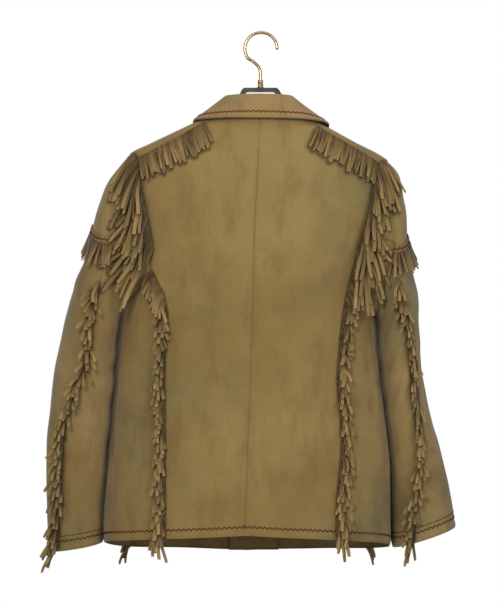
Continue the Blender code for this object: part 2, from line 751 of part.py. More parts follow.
def tube(name, path, radii, sides, kind):
    """Round bar along a path in the plane of the hook."""
    verts, faces = [], []
    count = len(path)
    for k, p in enumerate(path):
        run = unit(path[min(k + 1, count - 1)] - path[max(k - 1, 0)])
        flat = np.array([0.0, 1.0, 0.0])
        cross = unit(np.cross(run, flat))
        for e in range(sides):
            t = 2 * math.pi * e / sides
            verts.append(p + (flat * math.cos(t) + cross * math.sin(t)) * radii[k])
    for k in range(count - 1):
        for e in range(sides):
            f = (e + 1) % sides
            faces.append((k * sides + e, k * sides + f, (k + 1) * sides + f, (k + 1) * sides + e))
    faces.append(tuple(range(sides - 1, -1, -1)))
    faces.append(tuple((count - 1) * sides + e for e in range(sides)))
    return add_mesh(name, verts, faces, kind)


def slab(name, points, cells, kind):
    """Closed plate from flat cells; each point has x, z, front y and back y."""
    verts = [(x, back, z) for x, z, front, back in points] + [(x, front, z) for x, z, front, back in points]
    shift = len(points)
    faces, edges = [], {}
    for cell in cells:
        faces.append(tuple(cell))
        faces.append(tuple(i + shift for i in reversed(cell)))
        for k, a in enumerate(cell):
            b = cell[(k + 1) % len(cell)]
            edges[(a, b)] = edges.get((a, b), 0) + 1
    for (a, b) in list(edges):
        if (b, a) not in edges:
            faces.append((b, a, a + shift, b + shift))
    return add_mesh(name, verts, faces, kind)


def hanger():
    """Hook with its ferrule, and the bar: neck frame with a window and two arms."""
    path, radii = [], []
    centre = np.array([0.0, 0.0, -(HOOK_RADIUS - WIRE)])
    for k in range(23):
        t = math.radians(-4 + 222.0 * k / 22)
        path.append(centre + np.array([-math.cos(t), 0.0, math.sin(t)]) * HOOK_RADIUS)
        radii.append(WIRE * (0.8 if k == 0 else 1.0))
    for x, z in ((15.5, -43.0), (8.5, -48.5), (3.4, -54.5), (1.2, -61.0), (1.0, -68.0), (1.0, -74.6)):
        path.append(np.array([x, 0.0, z]))
        radii.append(WIRE)
    for z, r in ((-75.2, 4.0), (-76.0, 4.6), (-86.0, 4.6), (-87.0, 5.4), (-87.6, 5.4)):
        path.append(np.array([1.0, 0.0, z]))
        radii.append(r)
    tube("hanger_hook", path, radii, 8, "brass")

    points, cells = [], []
    arm_steps = 9
    left_top, left_low, right_top, right_low = [], [], [], []

    def ridge(side, x):
        z = -112.0
        while torso(side * 90, z)[0] * side < x * side and z > -215:
            z -= 0.5
        return z

    for side, tops, lows, reach in ((1, left_top, left_low, 196.0), (-1, right_top, right_low, 188.0)):
        for k in range(arm_steps + 1):
            t = k / float(arm_steps)
            x = side * (44.0 + (reach - 44.0) * t)
            top = min(ridge(side, x) - 5.5, -118.0 - 8.0 * t)
            thick = 17.0 + 9.0 * math.sin(math.pi * min(t * 1.3, 1.0))
            if k == arm_steps:
                top, thick = top - 3.0, thick - 6.0
            depth = 5.0 + 6.5 * ease(t * 2.0)
            tops.append(len(points))
            points.append((x, top, -depth, depth))
            lows.append(len(points))
            points.append((x, top - thick, -depth, depth))
    # neck frame: outer and inner corners of the window
    frame = {}
    for key, x, z in (("ol", 41.0, -112.0), ("ol2", 36.0, -101.0), ("ol3", 31.5, -91.5), ("ol4", 28.0, -88.0),
                      ("or4", -26.0, -88.0), ("or3", -29.5, -91.5), ("or2", -35.0, -101.0), ("or", -41.0, -112.0),
                      ("il", 33.0, -115.0), ("il2", 29.5, -102.5), ("il3", 25.0, -96.5), ("il4", 22.0, -94.5),
                      ("ir4", -20.0, -94.5), ("ir3", -23.0, -96.5), ("ir2", -28.5, -102.5), ("ir", -33.0, -115.0),
                      ("ml", 16.0, -122.0), ("mr", -16.0, -122.0), ("bl", 16.0, -142.0), ("br", -16.0, -142.0)):
        frame[key] = len(points)
        points.append((x, z, -5.0, 5.0))
    f = frame
    cells += [(f["ol"], f["ol2"], f["il2"], f["il"]), (f["ol2"], f["ol3"], f["il3"], f["il2"]),
              (f["ol3"], f["ol4"], f["il4"], f["il3"]), (f["ol4"], f["or4"], f["ir4"], f["il4"]),
              (f["or4"], f["or3"], f["ir3"], f["ir4"]), (f["or3"], f["or2"], f["ir2"], f["ir3"]),
              (f["or2"], f["or"], f["ir"], f["ir2"])]
    cells += [(left_top[0], f["ol"], f["il"], left_low[0]), (f["or"], right_top[0], right_low[0], f["ir"]),
              (f["il"], f["ml"], f["bl"], left_low[0]), (f["ml"], f["mr"], f["br"], f["bl"]),
              (f["mr"], f["ir"], right_low[0], f["br"])]
    for k in range(arm_steps):
        cells.append((left_top[k + 1], left_top[k], left_low[k], left_low[k + 1]))
        cells.append((right_top[k], right_top[k + 1], right_low[k + 1], right_low[k]))
    slab("hanger_bar", points, cells, "hanger")


def buttons():
    """Five plain round buttons on the closing line of the hidden front."""
    for index, z in enumerate((-225.0, -355.0, -485.0, -615.0, -745.0)):
        p, n = torso_frame(180.0, z)
        along = unit(np.cross(n, np.array([0.0, 0.0, 1.0])))
        upward = unit(np.cross(along, n))
        verts, faces = [], []
        rings = ((0.8, 9.2), (1.4, 10.0), (3.2, 10.0), (3.9, 8.6))
        for lift, radius in rings:
            for e in range(12):
                t = 2 * math.pi * e / 12
                verts.append(p + n * (lift + 0.1) + (along * math.cos(t) + upward * math.sin(t)) * radius)
        for k in range(3):
            for e in range(12):
                g = (e + 1) % 12
                faces.append((k * 12 + e, k * 12 + g, (k + 1) * 12 + g, (k + 1) * 12 + e))
        faces.append(tuple(range(11, -1, -1)))
        faces.append(tuple(3 * 12 + e for e in range(12)))
        add_mesh("button_%d" % (index + 1), verts, faces, "button")


def facing():
    """Light strip along the inside of the closing edge."""
    grid, normals = [], []
    for j in range(9):
        v = j / 8.0
        row, up = [], []
        for i in range(6):
            x = 31.0 - 82.0 * i / 5.0
            low = hem(180.0) + 0.8
            z = low + (-262.0 - low) * v
            left, right = smooth_table(TORSO, z, 1), smooth_table(TORSO, z, 2)
            half = (left - right) / 2.0
            a = 180.0 - math.degrees(math.asin(x / half))
            p, n = torso_frame(a, z)
            row.append(p - n * (UNDERLAP_DROP + WALL + 0.6))
            up.append(n)
        grid.append(row)
        normals.append(up)
    return sheet("front_facing", grid, normals, 1.2, "facing", (0.0, 0.0, 0.0, 0.0))


def vec(x, y, z):
    """Short way to write a direction."""
    return np.array([x, y, z], dtype=float)


def build():
    """Make every piece."""
    clear_scene()

    def past_centre(extra):
        def angle(z):
            half = (smooth_table(TORSO, z, 1) - smooth_table(TORSO, z, 2)) / 2.0
            return 180.0 + math.degrees(math.asin(extra / half))
        return angle

    left_edge, right_edge = past_centre(OVERLAP_LEFT), past_centre(OVERLAP_RIGHT)

    def under(a):
        near = ease((abs(a) - 146.0) / 14.0)
        return -UNDERLAP_DROP * near

    torso_items, sleeve_items = [], []
    for side, word in ((1, "left"), (-1, "right")):
        torso_items.append(main_panel("back_" + word, side, 1, centre_back, 8, lambda a: 0.0))
        torso_items.append(side_panel("side_" + word, side, UNDER_STEPS))
    torso_items.append(main_panel("front_left", 1, 2, lambda z: left_edge(z), 9, lambda a: 0.0))
    torso_items.append(main_panel("front_right", -1, 2, lambda z: -right_edge(z), 10, under))
    for side, word in ((1, "left"), (-1, "right")):
        upper = [-t for t in reversed(ARM_TURNS[:7])] + [t for t in arm_turns(side, 1) if 0.0 < t <= 90.0]
        lower = ([t for t in arm_turns(side, 1) if t >= 90.0] + under_turns(side)
                 + [360.0 - t for t in reversed(arm_turns(side, 2)) if t >= 90.0])
        sleeve_items.append(sleeve_half("sleeve_%s_top" % word, side,
                                        lambda s, side=side: (-90.0, seam_turn(side, s)), upper, 0.35))
        sleeve_items.append(sleeve_half("sleeve_%s_under" % word, side,
                                        lambda s, side=side: (seam_turn(side, s), 270.0), lower, 0.35))
    tree = cloth_tree(torso_items + sleeve_items)
    collar_item = collar(cloth_tree(torso_items))
    facing()
    hanger()
    buttons()

    for side, word in ((1, "left"), (-1, "right")):
        last = sleeve_length(side)

        def shoulder(t, side=side):
            z = smooth_table(SHOULDER_LINE[side], t, 2)
            x = smooth_table(SHOULDER_LINE[side], t, 1)
            return torso_frame(side * back_angle(side, x, z), z)

        def shoulder_shape(t, side=side):
            sway = 0.22 * math.sin(9.0 * t + side)
            return {"length": 33.0 + 3.0 * math.sin(5 * t), "start": vec(-side * 0.10, 0.5, -0.9),
                    "end": vec(-side * 0.20 + 0.12 * sway, 0.12, -1.0), "lift": 4.0}

        make_fringe("shoulder_fringe_" + word, shoulder, 16, STRAND_WIDTH, shoulder_shape,
                    cloth_tree(torso_items + sleeve_items + [collar_item]), 2.0, 3)

        def band(t, side=side):
            turn = -76.0 + 152.0 * t
            want = (-320.0 if side > 0 else -335.0) - 24.0 * abs(math.sin(math.radians(turn)))
            low, high = 0.3, 6.0
            for _ in range(24):
                mid = (low + high) / 2.0
                if sleeve(side, mid, turn)[2] > want:
                    low = mid
                else:
                    high = mid
            return sleeve_frame(side, (low + high) / 2.0, turn)

        def band_shape(t, side=side):
            turn = math.radians(-76.0 + 152.0 * t)
            out = vec(side * math.cos(turn), math.sin(turn), 0.0)
            return {"length": 28.0 + 3.0 * math.sin(17 * t), "start": out * 0.25 + vec(0, 0, -1),
                    "end": out * 0.30 + vec(0, 0, -1), "lift": 3.0}

        arm_band = make_fringe("arm_band_" + word, band, 13, STRAND_WIDTH, band_shape, tree, 1.7, 2)

        def side_back(t, side=side):
            start = -404.0
            z = start + (-806.0 - start) * t
            a = abs(outer_angle(side, z, 1)) - 0.6
            return torso_frame(side * a, z)

        def side_back_shape(t, side=side):
            return {"length": 25.0 + 2.5 * math.sin(23 * t), "start": vec(side * 0.95, 0.1, -0.35),
                    "end": vec(side * 0.52, 0.05, -1.0), "lift": 4.0}

        side_item = make_fringe("side_back_fringe_" + word, side_back, 19, STRAND_WIDTH, side_back_shape,
                                tree, 1.7, 2)

        def side_front(t, side=side):
            z = -420.0 + (-842.0 + 420.0) * t
            a = abs(outer_angle(side, z, 2)) + 0.6
            return torso_frame(side * a, z)

        def side_front_shape(t, side=side):
            return {"length": 25.0, "start": vec(side * 0.95, -0.1, -0.35),
                    "end": vec(side * 0.52, -0.05, -1.0), "lift": 4.0}

        make_fringe("side_front_fringe_" + word, side_front, 12, STRAND_WIDTH, side_front_shape, tree, 1.7, 2)

        def sleeve_seam(t, side=side, last=last):
            low = 4.0 if side > 0 else 4.2
            s = low + (last - 0.12 - low) * t
            return sleeve_frame(side, s, seam_turn(side, s) - 2.0)

        def sleeve_seam_shape(t, side=side):
            return {"length": 25.0 + 2.5 * math.sin(21 * t), "start": vec(side * 0.9, 0.2, -0.45),
                    "end": vec(side * 0.5, 0.12, -1.0), "lift": 3.5}

        make_fringe("sleeve_fringe_" + word, sleeve_seam, 20, STRAND_WIDTH, sleeve_seam_shape,
                    tree, 1.7, 2)

        def arm_seam(t, side=side):
            turn = 27.0 + (80.0 if side > 0 else 72.0) * t
            a, z = armhole_edge(side, turn)
            step = 5.6
            p, n = torso_frame(a, z)
            inward = unit(np.cross(n, unit(torso(*armhole_edge(side, turn + 2)) - torso(*armhole_edge(side, turn - 2)))))
            if inward[0] * side > 0:
                inward = -inward
            q = p + inward * step
            da = torso(a + 0.5, z) - p
            shift = np.dot(q - p, unit(da)) / max(np.linalg.norm(da) / 0.5, 1e-6)
            return torso_frame(a + shift, z + (q - p)[2])

        def arm_seam_shape(t, side=side):
            length = float(np.interp(t, [0.0, 0.25, 0.45, 0.55, 0.75, 1.0], [64, 62, 44, 52, 96, 104]))
            lean = float(np.interp(t, [0.0, 0.3, 0.55, 1.0], [0.72, 0.5, 0.33, 0.22]))
            first = 0.5
            if side < 0:
                length *= float(np.interp(t, [0.0, 0.2, 0.4, 0.6, 0.8], [1.0, 0.85, 0.72, 0.72, 0.92]))
                lean *= float(np.interp(t, [0.0, 0.3, 0.6], [0.95, 0.6, 0.4]))
                first = float(np.interp(t, [0.0, 0.4], [0.5, 0.2]))
            return {"length": length, "start": vec(side * (first + lean), 0.45, -0.8),
                    "end": vec(side * lean, 0.0, -1.0), "lift": 9.0}

        make_fringe("armhole_fringe_" + word, arm_seam, 13, STRAND_WIDTH, arm_seam_shape,
                    cloth_tree(torso_items + sleeve_items + [arm_band, side_item]), 2.8, 6)


build()
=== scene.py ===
"""Dress the fringed deerskin jacket: leather shells, dense fringe, red stitching, hook and lights.

The surfaces repeat the named sizes of the part's own source, in millimetres, so every shell lies
where its solid lies. The jacket's back is +Y and faces the camera; its own left is +X. Tables that
differ from side to side are kept under 1 for the left and -1 for the right.
"""
from __future__ import annotations

import json
import logging
import math
import random
from collections.abc import Callable
from dataclasses import dataclass, field
from enum import Enum

import bpy
import numpy as np
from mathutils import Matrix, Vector
from mathutils.bvhtree import BVHTree
from mathutils.kdtree import KDTree

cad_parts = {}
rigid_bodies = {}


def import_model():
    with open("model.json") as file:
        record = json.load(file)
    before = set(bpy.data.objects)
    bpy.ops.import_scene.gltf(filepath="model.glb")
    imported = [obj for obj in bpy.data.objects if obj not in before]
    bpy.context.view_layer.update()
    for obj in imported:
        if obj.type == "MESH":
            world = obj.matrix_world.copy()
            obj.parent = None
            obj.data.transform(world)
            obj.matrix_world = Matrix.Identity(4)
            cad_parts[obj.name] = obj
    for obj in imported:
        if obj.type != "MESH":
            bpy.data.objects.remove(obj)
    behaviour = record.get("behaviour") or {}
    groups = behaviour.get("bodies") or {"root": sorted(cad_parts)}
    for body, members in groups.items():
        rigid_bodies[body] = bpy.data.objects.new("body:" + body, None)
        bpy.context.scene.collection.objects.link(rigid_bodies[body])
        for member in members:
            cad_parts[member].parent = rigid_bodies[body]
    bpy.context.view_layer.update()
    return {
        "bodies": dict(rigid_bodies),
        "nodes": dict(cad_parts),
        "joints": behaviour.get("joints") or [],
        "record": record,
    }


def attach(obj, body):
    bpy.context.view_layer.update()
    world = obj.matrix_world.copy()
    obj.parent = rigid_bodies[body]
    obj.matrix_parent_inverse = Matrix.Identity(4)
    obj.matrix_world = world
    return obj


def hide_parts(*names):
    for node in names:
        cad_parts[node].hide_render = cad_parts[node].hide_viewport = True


LOG = logging.getLogger("jacket")
MM = 0.001
Array = np.ndarray
BODY = "root"
WORDS = {1: "left", -1: "right"}

# leather, mm: a solid's wall, a shell's wall, the gap that a sewn edge leaves, the folded collar
WALL = 2.0
SHELL_WALL = 1.9
HALF_GAP = 0.03
COLLAR_WALL = 2.4
# how far the right front lies under the left one, and how far each front passes the middle
UNDERLAP_DROP = 2.8
OVERLAP = {1: 26.0, -1: 32.0}
# heights of the neck edge at the back, and of its lowest point at the front below that
NECK_TOP, NECK_DROP = -121.0, 64.0
# heights at which seams meet the hem at the sides, and the middle meets the hem and the front's neck
NEAR_HEM, MIDDLE_HEM, MIDDLE_NECK = -830.0, -850.0, -190.0
# facing: where it starts and ends across the front, its top, its wall, and the gap in front of it
FACING_SPAN, FACING_TOP, FACING_WALL, FACING_GAP = (31.0, -51.0), -262.0, 1.1, 0.7
# angle past which the right front sinks under the left one, and over how many degrees
UNDERLAP_FROM, UNDERLAP_OVER = 146.0, 14.0

# body: height, left edge, right edge, back depth, front depth, squareness
TORSO = np.array((
    (-112, 60, -54, 38, -60, 2.1), (-122, 68, -62, 41, -62, 2.1), (-127, 74, -67, 43, -63, 2.1),
    (-146, 111, -96, 48, -65, 2.15), (-157, 134, -117, 51, -67, 2.2), (-178, 178, -155, 56, -69, 2.2),
    (-197, 214, -192, 60, -70, 2.25), (-209, 219, -207, 63, -72, 2.25), (-254, 217, -204, 71, -82, 2.3),
    (-300, 214, -200, 78, -90, 2.3), (-400, 216, -186, 85, -95, 2.4), (-443, 221, -184, 87, -96, 2.5),
    (-491, 228, -186, 87, -96, 2.5), (-564, 234, -193, 88, -96, 2.6), (-629, 239, -202, 88, -96, 2.6),
    (-707, 246, -209, 90, -96, 2.6), (-825, 254, -211, 92, -97, 2.6), (-870, 256, -212, 92, -98, 2.6)))
# hem: angle from centre back, left height, right height
HEM = np.array(((0, -805, -805), (45, -815, -817), (90, -828, -834), (135, -846, -848), (180, -854, -854)))
# side-back seams: height, angle
SEAM_BACK = {
    1: np.array(((-381, 50.6), (-409, 44.5), (-425, 40.5), (-465, 36.9), (-549, 36.2), (-610, 35.4),
                 (-870, 31.5))),
    -1: np.array(((-345, 52.1), (-397, 48.3), (-438, 44.9), (-508, 41.2), (-570, 38.4), (-624, 38.3),
                  (-750, 35.3), (-870, 34.5)))}
SEAM_FRONT = np.array(((-385, 130.0), (-500, 131.0), (-700, 131.0), (-870, 130.0)))
# centre back seam: height, x
CENTRE_SEAM = np.array(((-121, 1.5), (-156, 2.7), (-242, 6.7), (-306, 10), (-418, 13.2), (-528, 16.3),
                        (-623, 19.8), (-717, 23.4), (-796, 26.4), (-860, 28)))
# armhole: turn from its top, cut back, cut forward
ARMHOLE = np.array(((0, 0, 0), (6, 10, 10), (12, 17, 16), (30, 26.8, 25), (58, 29.7, 29), (82, 33.8, 34),
                    (105, 38.8, 39), (122, 39.9, 41), (140, 34, 35), (155, 24, 25), (168, 13, 13),
                    (180, 0, 0)))
ARM_TOP = {1: -197.0, -1: -209.0}
ARM_LOW = {1: -441.0, -1: -462.0}
SEAM_START = {(1, 1): -381.0, (-1, 1): -345.0, (1, 2): -385.0, (-1, 2): -385.0}
# sleeves: outer x, outer z, inner x, inner z, half depth, middle y
SLEEVE = {
    1: ((241, -230, 227, -434, 54, -1), (257.5, -259, 231, -443, 60, -2), (269, -295, 234, -458, 65, -3),
        (284, -360, 236, -492, 68, -5), (301.5, -401, 238, -525, 68, -7), (311, -434, 240, -553, 67, -9),
        (328, -499, 243, -592, 64, -11), (341, -580, 248, -640, 60, -14), (349, -645, 252, -690, 56, -16),
        (352, -711, 255, -737, 52, -18), (351, -760, 257, -775, 49, -20), (349, -808, 258.5, -810, 46, -21),
        (347, -844, 259, -830, 45, -22)),
    -1: ((-223, -228, -191, -451, 54, -1), (-231.5, -262, -194, -459, 60, -2),
         (-236, -290, -196, -473, 65, -3), (-238, -331, -197, -495, 68, -4), (-244, -372, -198, -520, 69, -6),
         (-255, -420, -200, -552, 68, -8), (-258, -470, -203, -585, 66, -10),
         (-260, -520, -207, -622, 63, -12), (-266, -570, -211, -660, 60, -14),
         (-280, -629, -214, -703, 56, -16), (-293, -675, -215.5, -740, 53, -18),
         (-303, -716, -216, -773, 50, -20), (-314, -772, -216, -812, 47, -21),
         (-319.5, -804, -215.5, -838, 45, -22))}
SLEEVE_SEAM = {
    1: np.array(((-300, 90), (-417, 90), (-522, 99), (-574, 88), (-613, 78), (-662, 71), (-727, 71),
                 (-792, 63), (-841, 55))),
    -1: np.array(((-300, 88), (-400, 84), (-442, 79), (-495, 70), (-540, 63), (-597, 61), (-645, 66),
                  (-694, 81), (-743, 100), (-792, 111), (-841, 115)))}
# root line of the shoulder fringes: share of the line, x, height
SHOULDER_LINE = {1: np.array(((0.0, 90.0, -148.0), (0.5, 138.0, -176.0), (1.0, 196.0, -205.0))),
                 -1: np.array(((0.0, -90.0, -155.0), (0.5, -132.0, -180.0), (1.0, -186.0, -212.0)))}
# where sleeve and side fall against each other: height, swell of the sleeve, swell of the side
SWELL = {1: np.array(((-424, 0, 0), (-438, 9.4, 4.2), (-454, 10.4, 4.8), (-472, 7.0, 3.4), (-500, 4.8, 2.6),
                      (-760, 3.8, 2.2), (-845, 2.0, 1.0))),
         -1: np.array(((-434, 0, 0), (-448, 8.4, 4.0), (-472, 11.2, 5.6), (-495, 8.6, 4.6), (-550, 7.0, 3.8),
                       (-620, 5.8, 3.2), (-700, 4.4, 2.6), (-790, 3.6, 2.2), (-845, 2.4, 1.4)))}
# collar: angle, stand leans in, stand rises, fall goes out, fall goes down
COLLAR = {
    1: np.array(((0, 0, 15, 16, 21), (45, 4, 15, 26, 20), (90, 12, 16, 43, 20), (130, 8, 15, 36, 46),
                 (160, 4, 14, 18, 66), (172, 2, 13, 12, 54))),
    -1: np.array(((0, 0, 15, 16, 21), (45, 4, 15, 26, 21), (90, 12, 14, 50, 27), (130, 8, 15, 38, 46),
                  (160, 4, 14, 18, 66), (172, 2, 13, 12, 54)))}
# collar: furthest angle to each side, clearance of the fall from the shoulders
COLLAR_END, COLLAR_CLEAR = 172.0, 3.6
# arm band: first turn, how far it runs, height at its ends, how far it dips in the middle
BAND_START, BAND_RUN, BAND_DIP = -76.0, 170.0, 24.0
BAND_HEIGHT = {1: -320.0, -1: -335.0}


@dataclass(frozen=True)
class Crease:
    """One long crease of the body.

    Attributes:
        at: Angle at its upper end.
        top: Height of its upper end.
        bottom: Height of its lower end.
        drift: How far its angle moves on the way down.
        wide: Half width, degrees.
        high: Height of the crest, mm; below 0 for a hollow.
    """

    at: float
    top: float
    bottom: float
    drift: float
    wide: float
    high: float


CREASES = (
    Crease(-62, -470, -640, -4, 3.2, 2.2), Crease(-72, -500, -800, 3, 4.0, -1.8),
    Crease(66, -480, -760, 2, 4.5, 1.8), Crease(78, -520, -820, -3, 3.5, -1.6),
    Crease(22, -250, -560, -6, 5.0, 1.3), Crease(-24, -240, -520, 8, 5.0, 1.2),
    Crease(-20, -560, -810, 2, 4.0, 1.5), Crease(14, -600, -810, 1, 4.5, 1.4),
    Crease(40, -300, -420, -10, 4.0, 1.6), Crease(-42, -290, -420, 10, 4.0, 1.6),
    Crease(118, -470, -820, 2, 5.0, 1.8), Crease(-118, -470, -820, 2, 5.0, 1.8),
    Crease(150, -350, -700, 5, 6.0, 1.2), Crease(-150, -350, -700, -5, 6.0, 1.2))


def read(rows: Array, value: Array | float, column: int) -> Array:
    """Read one column of a table with a monotone cubic curve.

    Args:
        rows: Table whose first column is the key.
        value: Keys to read at.
        column: Column to read.

    Returns:
        The read values, in the shape of value.
    """
    data = rows[np.argsort(rows[:, 0])]
    xs, ys = data[:, 0], data[:, column]
    step = np.diff(xs)
    rate = np.diff(ys) / step
    slope = np.empty(len(xs))
    slope[0], slope[-1] = rate[0], rate[-1]
    product = rate[:-1] * rate[1:]
    total = np.where(np.abs(rate[:-1] + rate[1:]) < 1e-12, 1.0, rate[:-1] + rate[1:])
    slope[1:-1] = np.where(product <= 0, 0.0, 2.0 * product / total)
    v = np.clip(np.asarray(value, dtype=float), xs[0], xs[-1])
    k = np.clip(np.searchsorted(xs, v, side="right") - 1, 0, len(xs) - 2)
    t = (v - xs[k]) / step[k]
    a, b = slope[k] * step[k], slope[k + 1] * step[k]
    return ((2 * t**3 - 3 * t**2 + 1) * ys[k] + (t**3 - 2 * t**2 + t) * a
            + (-2 * t**3 + 3 * t**2) * ys[k + 1] + (t**3 - t**2) * b)


def ease(t: Array | float) -> Array:
    """Smooth step from 0 to 1."""
    t = np.clip(t, 0.0, 1.0)
    return t * t * (3.0 - 2.0 * t)


def unit(v: Array) -> Array:
    """Vectors of length one along the last axis."""
    return v / np.maximum(np.linalg.norm(v, axis=-1, keepdims=True), 1e-12)


def ripple(a: Array, b: Array, seed: float) -> Array:
    """Soft uneven wave from -1 to 1 in two directions."""
    return (0.5 * np.sin(a + 1.7 * np.sin(0.6 * b + seed)) + 0.3 * np.sin(1.9 * a - 0.8 * b + 2 * seed)
            + 0.2 * np.sin(0.7 * a + 2.3 * b + 3 * seed))


class Face(Enum):
    """Sides of a shell that take their own material."""

    OUT = 0
    IN = 1


class Edge(Enum):
    """Edges of a shell's grid: the axis across it, and which end of that axis it is."""

    FIRST_ROW = (0, 0)
    LAST_ROW = (0, -1)
    LAST_COLUMN = (1, -1)


class Panel(Enum):
    """Panels of the body beside the middle; the value is their column in the armhole's table."""

    BACK = 1
    FRONT = 2


class Trunk:
    """Outer surface of the body of the jacket.

    Attributes:
        fold: Depth of the soft folds in which it hangs, mm.
        fold_top: Height at which they start.
        fold_run: How far down they reach their depth.
        unevenness: Height of the broad and of the fine unevenness, mm.
        swell_wide: How wide the side swells towards the sleeve, degrees.
    """

    fold = 2.6
    fold_top = -300.0
    fold_run = 450.0
    unevenness = (0.9, 0.45)
    swell_wide = 16.0

    @classmethod
    def point(cls, angle: Array, z: Array) -> Array:
        """Points of the body.

        Args:
            angle: Angles from centre back over the left side, degrees.
            z: Heights, mm.

        Returns:
            Points, mm.
        """
        angle, z = np.broadcast_arrays(np.asarray(angle, float), np.asarray(z, float))
        left, right, back, front, square = (read(TORSO, z, c) for c in range(1, 6))
        middle, half = (left + right) / 2.0, (left - right) / 2.0
        turn = np.radians(angle)
        s, c = np.sin(turn), np.cos(turn)
        depth = np.where(c >= 0, back, -front)
        r = (np.abs(s) ** square + np.abs(c) ** square) ** (-1.0 / square)
        out = unit(np.stack([s / half, c / depth, 0 * s], axis=-1))
        deep = cls.fold * ease((cls.fold_top - z) / cls.fold_run)
        fold = deep * (0.6 * np.cos(7 * turn + 0.6) + 0.4 * np.cos(11 * turn + 2.0))
        base = np.stack([middle + half * r * s, depth * r * c, z], axis=-1)
        return base + out * fold[..., None]

    @classmethod
    def frame(cls, angle: Array, z: Array) -> tuple[Array, Array]:
        """Points and outward normals.

        Args:
            angle: Angles from centre back, degrees.
            z: Heights, mm.

        Returns:
            Points in mm and their normals.
        """
        angle, z = np.broadcast_arrays(np.asarray(angle, float), np.asarray(z, float))
        da = cls.point(angle + 0.4, z) - cls.point(angle - 0.4, z)
        dz = cls.point(angle, z + 0.8) - cls.point(angle, z - 0.8)
        p = cls.point(angle, z)
        n = unit(np.cross(dz, da))
        middle = (read(TORSO, z, 1) + read(TORSO, z, 2)) / 2.0
        away = p - np.stack([middle, 0 * z, z], axis=-1)
        flip = np.where(np.sum(n * away, axis=-1) < 0, -1.0, 1.0)
        return p, n * flip[..., None]

    @classmethod
    def wrinkle(cls, angle: Array, z: Array) -> Array:
        """Creases of the worn leather, mm out of the plain surface.

        Args:
            angle: Angles from centre back, degrees.
            z: Heights, mm.

        Returns:
            Heights over the plain surface, mm.
        """
        a = np.asarray(angle, float)
        low = ease((-200.0 - z) / 260.0)
        broad, fine = cls.unevenness
        soft = broad * low * ripple(np.radians(a) * 5.0, z * 0.021, 0.7)
        soft += fine * ripple(np.radians(a) * 13.0, z * 0.045, 2.1)
        beside = np.exp(-(((np.abs(a) - 90.0) / cls.swell_wide) ** 2))
        swell = np.where(a > 0, read(SWELL[1], z, 2), read(SWELL[-1], z, 2))
        total = soft + swell * beside
        for crease in CREASES:
            along = (crease.top - z) / (crease.top - crease.bottom)
            line = crease.at + crease.drift * along
            crest = np.exp(-(((a - line) / crease.wide) ** 2))
            total = total + crease.high * crest * ease(along * 3.0) * ease((1.0 - along) * 3.0)
        return total


